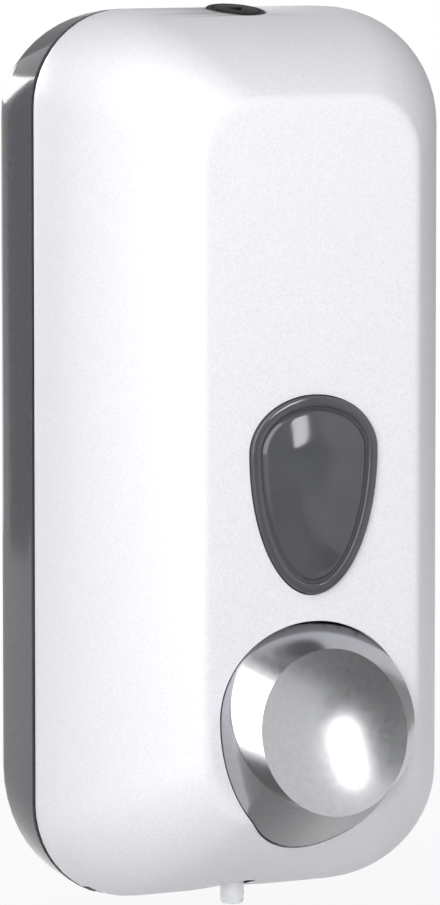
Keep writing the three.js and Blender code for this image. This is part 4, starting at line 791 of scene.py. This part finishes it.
# %% The lock's barrel
CAM_TOP, CAM_BOTTOM = -8.9 * MM, -10.4 * MM
KEY_SIDES, KEY_RADIUS, KEY_DEPTH = 3, 2.6 * MM, 2.2 * MM
barrel_top = COLLAR_RISE + BARREL_RISE
barrel_profile = [
    (BARREL_RADIUS / 2, CAM_BOTTOM),
    (BARREL_RADIUS / 2, CAM_TOP + SEAT_GAP),
    (BARREL_RADIUS, CAM_TOP + SEAT_GAP),
    (BARREL_RADIUS, 2 * SEAT_GAP),
    (BARREL_FACE, 2 * SEAT_GAP),
    (BARREL_FACE, barrel_top),
]
barrel_edge = {5: BARREL_ROUND}
barrel = turned("lock_plug", barrel_profile, LOCK_ORIGIN, LOCK_TILT, tube=False, soften=barrel_edge)
key = start(
    bpy.ops.mesh.primitive_cylinder_add,
    vertices=KEY_SIDES,
    radius=KEY_RADIUS,
    depth=KEY_DEPTH,
    rotation=(LOCK_TILT + math.pi, 0, 0),
    location=LOCK_ORIGIN + LOCK_AXIS * barrel_top,
)
screw_room = lock_rod(SCREW_RADIUS, CAM_BOTTOM - OVERRUN, CAM_TOP)
combine(barrel, [key, screw_room], "DIFFERENCE")
smooth(barrel, TURNED_ANGLE)
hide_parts("lock_barrel")
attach(barrel, "lock")
print("lock barrel:", len(barrel.data.polygons), "faces")

# %% [markdown]
# The nozzle is a tube that hangs below the pump, with a rounded tip, a flange and a narrower neck above it.

# %% The nozzle
NOZZLE_BORE, NOZZLE_NECK, OUTLET_RADIUS = 1.7 * MM, 3 * MM, 5 * MM
NOZZLE_FLANGE_TOP, NOZZLE_FLANGE_THICK, NOZZLE_TOP = 8.7 * MM, 1.4 * MM, 12.4 * MM
NOZZLE_ROUND = 1 * MM
nozzle_profile = [
    (NOZZLE_BORE, NOZZLE_TIP),
    (NOZZLE_RADIUS, NOZZLE_TIP),
    (NOZZLE_RADIUS, NOZZLE_FLANGE_TOP - NOZZLE_FLANGE_THICK),
    (OUTLET_RADIUS, NOZZLE_FLANGE_TOP - NOZZLE_FLANGE_THICK),
    (OUTLET_RADIUS, NOZZLE_FLANGE_TOP),
    (NOZZLE_NECK, NOZZLE_FLANGE_TOP),
    (NOZZLE_NECK, NOZZLE_TOP),
    (NOZZLE_BORE, NOZZLE_TOP),
]
outlet = Vector((0, -OUTLET_DEPTH, BASE))
nozzle = turned("nozzle_tube", nozzle_profile, outlet, 0, soften={1: NOZZLE_ROUND}, steps=ROUND_STEPS)
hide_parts("nozzle")
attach(nozzle, "wall_side")
print("nozzle:", len(nozzle.data.polygons), "faces")

# %% [markdown]
# A finish is built from nodes, and the maths between them reads better as Python. A small class wraps one
# socket of a material, so that + and * add the Math nodes, and colours are mixed with Mix nodes.


# %% Helpers for finishes
class Wire:
    def __init__(self, finish, socket):
        self.finish, self.socket = finish, socket

    def math(self, operation, first, second):
        return self.finish.node("ShaderNodeMath", {"operation": operation}, first, second)

    def __add__(self, other):
        return self.math("ADD", self, other)

    def __mul__(self, other):
        return self.math("MULTIPLY", self, other)

    __radd__ = __add__


class Finish:
    def __init__(self, slot_name):
        self.material = bpy.data.materials.new(slot_name + "_finish")
        self.material.use_nodes = True
        self.tree = self.material.node_tree
        self.surface = self.tree.nodes["Principled BSDF"]
        self.place = self.node("ShaderNodeTexCoord", {}, output="Object")

    def feed(self, socket, value):
        if isinstance(value, Wire):
            self.tree.links.new(value.socket, socket)
        else:
            socket.default_value = value

    def node(self, kind, settings, *values, output=None, **named):
        node = self.tree.nodes.new(kind)
        for name, value in settings.items():
            setattr(node, name, value)
        for socket, value in zip(node.inputs, values):
            self.feed(socket, value)
        for name, value in named.items():
            self.feed(node.inputs[name.replace("_", " ")], value)
        return Wire(self, node.outputs[output] if output else node.outputs[0])

    def blend(self, share, first, second):
        node = self.tree.nodes.new("ShaderNodeMix")
        node.data_type = "RGBA"
        for socket, value in ((node.inputs[0], share), (node.inputs[6], first), (node.inputs[7], second)):
            self.feed(socket, value)
        return Wire(self, node.outputs[2])

    def noise(self, scale, detail=2.0):
        grains = {"Vector": self.place, "Scale": scale, "Detail": detail}
        return self.node("ShaderNodeTexNoise", {}, output="Fac", **grains)

    def ramp(self, value, low, high):
        return self.node("ShaderNodeMapRange", {}, Value=value, From_Min=low, From_Max=high, output="Result")

    def bump(self, height, strength, distance):
        return self.node("ShaderNodeBump", {}, Height=height, Strength=strength, Distance=distance)

    def set(self, **sockets):
        for name, value in sockets.items():
            self.feed(self.surface.inputs[name.replace("_", " ")], value)
        return self.material


def tone(red, green, blue):
    return (red, green, blue, 1)


# %% [markdown]
# The cover is a silver-white plastic with a satin skin: a mass of very fine grains, some a little lighter,
# which the lamps pick out as a soft sparkle. One fine noise moves the colour and the roughness a little,
# and a second, coarser one keeps large areas from looking painted.

# %% The cover's satin finish
satin = Finish("satin_cover")
grain = satin.ramp(satin.noise(3200, 2), 0.35, 0.65)
cloud = satin.ramp(satin.noise(60), 0.3, 0.7)
satin_tone = satin.blend(grain, tone(0.69, 0.69, 0.73), tone(0.79, 0.79, 0.83))
satin_finish = satin.set(
    Base_Color=satin_tone,
    Roughness=0.36 + grain * 0.1 + cloud * 0.03,
    Normal=satin.bump(grain, 0.12, 0.00006),
    Metallic=0.08,
    Specular_IOR_Level=0.3,
)

# %% [markdown]
# The shell is a dark grey gloss. Fine flecks move its colour a little, and a coarser noise ripples the
# surface, which softens the edges of its highlights.

# %% The shell's glossy grey
gloss = Finish("grey_shell")
fleck = gloss.ramp(gloss.noise(2400), 0.4, 0.6)
gloss_tone = gloss.blend(fleck, tone(0.085, 0.085, 0.095), tone(0.105, 0.105, 0.115))
orange_peel = gloss.noise(500)
gloss_finish = gloss.set(
    Base_Color=gloss_tone,
    Roughness=0.07 + fleck * 0.03,
    Normal=gloss.bump(orange_peel, 0.03, 0.0001),
)

# %% [markdown]
# The chrome is a metal with an even, slightly hazy polish, which blurs what it reflects.

# %% The button's satin chrome
chrome = Finish("satin_chrome")
haze = chrome.ramp(chrome.noise(700), 0.3, 0.7)
chrome_tone = chrome.blend(haze, tone(0.46, 0.465, 0.48), tone(0.49, 0.495, 0.51))
chrome_finish = chrome.set(Base_Color=chrome_tone, Metallic=1.0, Roughness=0.2 + haze * 0.02)

# %% [markdown]
# The window is smooth and dark, and lets a little of what lies behind it show.

# %% The window's smoke grey
smoke = Finish("smoke_lens")
depth_haze = smoke.ramp(smoke.noise(90), 0.3, 0.7)
smoke_tone = smoke.blend(depth_haze, tone(0.075, 0.077, 0.085), tone(0.085, 0.087, 0.095))
smoke_finish = smoke.set(
    Base_Color=smoke_tone, Roughness=0.08 + depth_haze * 0.02, Alpha=0.9 + depth_haze * 0.02
)

# %% [markdown]
# Four more plastics follow: black for the lock, white for the mechanism, and two milky ones, of which the
# tank's is see-through.

# %% Black, white and clear plastics
black = Finish("black_plastic")
speck = black.ramp(black.noise(1800), 0.35, 0.65)
black_finish = black.set(
    Base_Color=black.blend(speck, tone(0.010, 0.010, 0.012), tone(0.022, 0.022, 0.025)),
    Roughness=0.38 + speck * 0.08,
    Normal=black.bump(speck, 0.1, 0.00005),
    Specular_IOR_Level=0.2,
)
white = Finish("white_plastic")
dapple = white.ramp(white.noise(1200), 0.35, 0.65)
white_finish = white.set(
    Base_Color=white.blend(dapple, tone(0.76, 0.76, 0.74), tone(0.82, 0.82, 0.80)),
    Roughness=0.4 + dapple * 0.1,
    Normal=white.bump(dapple, 0.08, 0.00005),
)
tank = Finish("clear_tank")
flow = tank.ramp(tank.noise(40), 0.3, 0.7)
tank_finish = tank.set(
    Base_Color=tank.blend(flow, tone(0.66, 0.70, 0.72), tone(0.78, 0.80, 0.81)),
    Roughness=0.25 + flow * 0.1,
    Alpha=0.55 + flow * 0.08,
)
milk = Finish("clear_nozzle")
mist = milk.ramp(milk.noise(300), 0.3, 0.7)
milk_finish = milk.set(
    Base_Color=milk.blend(mist, tone(0.78, 0.79, 0.82), tone(0.86, 0.87, 0.89)), Roughness=0.25 + mist * 0.08
)

# %% [markdown]
# The pins, the screws and the spring are steel, with fine streaks. The seals are a matt black rubber.

# %% Steel and rubber
steel = Finish("steel")
streak = steel.ramp(steel.noise(1500, 4), 0.3, 0.7)
steel_finish = steel.set(
    Base_Color=steel.blend(streak, tone(0.50, 0.51, 0.52), tone(0.62, 0.63, 0.64)),
    Metallic=1.0,
    Roughness=0.24 + streak * 0.14,
)
rubber = Finish("rubber")
bloom = rubber.ramp(rubber.noise(900), 0.3, 0.7)
rubber_finish = rubber.set(
    Base_Color=rubber.blend(bloom, tone(0.018, 0.018, 0.020), tone(0.035, 0.035, 0.038)),
    Roughness=0.65 + bloom * 0.15,
    Normal=rubber.bump(bloom, 0.15, 0.00005),
)

# %% [markdown]
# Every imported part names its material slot, and each dressed piece gets the finish of its own slot.

# %% Give every piece its finish
FINISHES = {
    "satin_cover": satin_finish,
    "grey_shell": gloss_finish,
    "satin_chrome": chrome_finish,
    "smoke_lens": smoke_finish,
    "black_plastic": black_finish,
    "white_plastic": white_finish,
    "clear_tank": tank_finish,
    "clear_nozzle": milk_finish,
    "steel": steel_finish,
    "rubber": rubber_finish,
}


def dress(piece, slot_name):
    piece.data.materials.clear()
    piece.data.materials.append(FINISHES[slot_name])


for entry in frame["record"]["subparts"]:
    dress(frame["nodes"][entry["node"]], entry["material_slot"])
dress(cover, "satin_cover")
dress(shell, "grey_shell")
# The strip in the seam is painted shade, dressed in the black rubber finish.
dress(shade_strip, "rubber")
dress(cap, "satin_chrome")
dress(lens, "smoke_lens")
dress(collar, "black_plastic")
dress(barrel, "black_plastic")
dress(nozzle, "clear_nozzle")

# %% [markdown]
# The studio: a white floor a little below the dispenser and a white world behind it. To the camera, in
# reflections and through clear plastic both show as plain white, while their light on the object stays at a
# plain level. Near the dispenser the floor keeps a share of its own shading, and with it the shadow.

# %% Floor and world
FLOOR_SIZE, FLOOR_HEIGHT = 6, BASE - 40 * MM
FLOOR_GLOW, FADE_NEAR, FADE_FAR = 0.85, 0.3, 1.2
WHITE_RAYS = ("Is Camera Ray", "Is Glossy Ray", "Is Transmission Ray")
ground = Finish("studio_floor")
floor_noise = ground.ramp(ground.noise(3), 0.3, 0.7)
ground_finish = ground.set(
    Base_Color=ground.blend(floor_noise, tone(0.8, 0.8, 0.8), tone(0.82, 0.82, 0.82)), Roughness=0.9
)
camera_ray, glossy_ray, clear_ray = (
    ground.node("ShaderNodeLightPath", {}, output=kind) for kind in WHITE_RAYS
)
away = ground.node("ShaderNodeVectorMath", {"operation": "LENGTH"}, ground.place, output="Value")
glow = ground.node("ShaderNodeEmission", {}, Color=tone(1, 1, 1), Strength=1.0)
faded = FLOOR_GLOW + ground.ramp(away, FADE_NEAR, FADE_FAR) * (1 - FLOOR_GLOW)
share = ground.ramp(camera_ray + glossy_ray + clear_ray, 0, 1) * faded
mixed = ground.node("ShaderNodeMixShader", {}, share, Wire(ground, ground.surface.outputs[0]), glow)
ground.tree.links.new(mixed.socket, ground.tree.nodes["Material Output"].inputs[0])
floor = start(bpy.ops.mesh.primitive_plane_add, size=FLOOR_SIZE, location=(0, 0, FLOOR_HEIGHT))
floor.name = "studio_floor"
floor.data.materials.append(ground_finish)

AMBIENT = 0.16
world = bpy.data.worlds.new("studio")
bpy.context.scene.world = world
world.use_nodes = True
air = world.node_tree
paths, level = air.nodes.new("ShaderNodeLightPath"), air.nodes.new("ShaderNodeMapRange")
level.inputs["To Min"].default_value = AMBIENT
first_two, all_three = air.nodes.new("ShaderNodeMath"), air.nodes.new("ShaderNodeMath")
air.links.new(paths.outputs[WHITE_RAYS[0]], first_two.inputs[0])
air.links.new(paths.outputs[WHITE_RAYS[1]], first_two.inputs[1])
air.links.new(first_two.outputs[0], all_three.inputs[0])
air.links.new(paths.outputs[WHITE_RAYS[2]], all_three.inputs[1])
air.links.new(all_three.outputs[0], level.inputs["Value"])
air.nodes["Background"].inputs["Color"].default_value = tone(1, 1, 1)
air.links.new(level.outputs["Result"], air.nodes["Background"].inputs["Strength"])
print("floor at:", round(FLOOR_HEIGHT, 4), "world level:", AMBIENT)

# %% [markdown]
# One tall softbox stands to the left, above the camera, and gives nearly all the light. A smaller one on
# the right shines into the button's dish. A wide one behind the dispenser lights its top, and is kept out
# of reflections. Each is placed by its direction: degrees to the right of the front, and degrees up.


# %% Lamps
def toward(azimuth, elevation, distance):
    turn, rise = math.radians(azimuth), math.radians(elevation)
    flat = math.cos(rise) * distance
    return Vector((math.sin(turn) * flat, -math.cos(turn) * flat, math.sin(rise) * distance))


def lamp(name, direction, distance, size, radiance):
    bpy.ops.object.select_all(action="DESELECT")
    place = toward(*direction, distance)
    bpy.ops.object.light_add(type="AREA", location=place)
    light = bpy.context.object
    light.name = name
    light.data.shape = "RECTANGLE"
    light.data.size, light.data.size_y = size
    light.data.energy = radiance * math.pi * size[0] * size[1]
    light.rotation_euler = (-place).to_track_quat("-Z", "Y").to_euler()
    light.visible_camera = False
    return light


lamp("left softbox", (-43, 29), 1.8, (1.5, 2.5), 3.65)
lamp("right softbox", (23, 11), 1.1, (0.12, 0.32), 12)
lamp("back softbox", (180, 24), 1.2, (1.28, 0.69), 2.6).visible_glossy = False

# %% [markdown]
# Chrome and gloss show whatever stands round them, so a photographer sets up dark cards where they should
# look dark, and bright ones for a highlight: here one for the shell's upper corner and one for its back
# edge. They are seen in reflections only, and cast no shadow. Each has one shade in its middle and
# another towards its edges, and two of them lie just above the floor.


# %% Cards
CARD_CORE = 0.45
UPWARD = Vector((0, 0, 1))


def card(name, centre, size, middle, edge, facing=None, spin=0):
    paper = Finish(name)
    gap = paper.node("ShaderNodeVectorMath", {"operation": "DISTANCE"}, paper.place, centre, output="Value")
    reach = min(size) / 2
    shade = middle + paper.ramp(gap, CARD_CORE * reach, reach) * (edge - middle)
    glow = paper.node("ShaderNodeEmission", {}, Color=tone(1, 1, 1), Strength=shade)
    paper.tree.links.new(glow.socket, paper.tree.nodes["Material Output"].inputs[0])
    turn = (facing or -centre).to_track_quat("Z", "Y").to_euler()
    turn.rotate_axis("Z", math.radians(spin))
    piece = start(bpy.ops.mesh.primitive_plane_add, (*size, 1), size=1, location=centre, rotation=turn)
    piece.name = name
    piece.data.materials.append(paper.material)
    piece.visible_camera = piece.visible_diffuse = piece.visible_shadow = False
    piece.visible_transmission = piece.visible_volume_scatter = False


card("right_card", toward(13, 0, 1.35), (0.85, 1.1), 0.2, 0.3)
card("ceiling_card", toward(120, 72, 0.85), (1.3, 1.3), 0.03, 0.35)
card("side_card", toward(120, 12, 1.0), (1.4, 1.1), 0.38, 0.5)
card("left_card", toward(-134, 0, 1.0), (0.6, 1.2), 0.1, 0.2)
card("corner_card", toward(-167, 14, 1.2), (0.55, 0.24), 8, 8)
card("back_card", toward(-172, -8, 1.15), (0.5, 0.5), 3, 2)
card("roof_card", toward(-175, 50, 0.9), (1.0, 0.75), 0.1, 0.2)
card("rear_card", toward(163, 14, 1.2), (0.7, 0.5), 0.3, 0.3)
near_place = toward(13, 0, 0.8) + Vector((0, 0, BASE - 37 * MM))
card("near_card", near_place, (0.5, 1.0), 0.2, 0.25, UPWARD, 13)
card("floor_card", Vector((-0.1, -0.2, BASE - 38 * MM)), (0.5, 0.5), 0.2, 0.6, UPWARD)

# %% [markdown]
# The camera stands to the left of the dispenser and a little above it, with a long lens. Its direction is
# level across the floor first, and then tipped down.

# %% Camera
CAMERA_PLACE = (-0.76598, -1.3718, 0.15485)
CAMERA_LENS = 254.762
HEADING, VIEW_DOWN = (0.49218, 0.87049), math.radians(5.7015)

bpy.ops.object.camera_add(location=CAMERA_PLACE)
camera = bpy.context.object
bpy.context.scene.camera = camera
camera.data.lens = CAMERA_LENS
look = Vector((*HEADING, -math.tan(VIEW_DOWN)))
camera.rotation_euler = look.to_track_quat("-Z", "Y").to_euler()
bpy.context.scene.view_settings.view_transform = "Standard"
print("camera:", CAMERA_LENS, "mm lens")

# %% [markdown]
# The last cell updates the scene.

# %% Finish
bpy.context.view_layer.update()
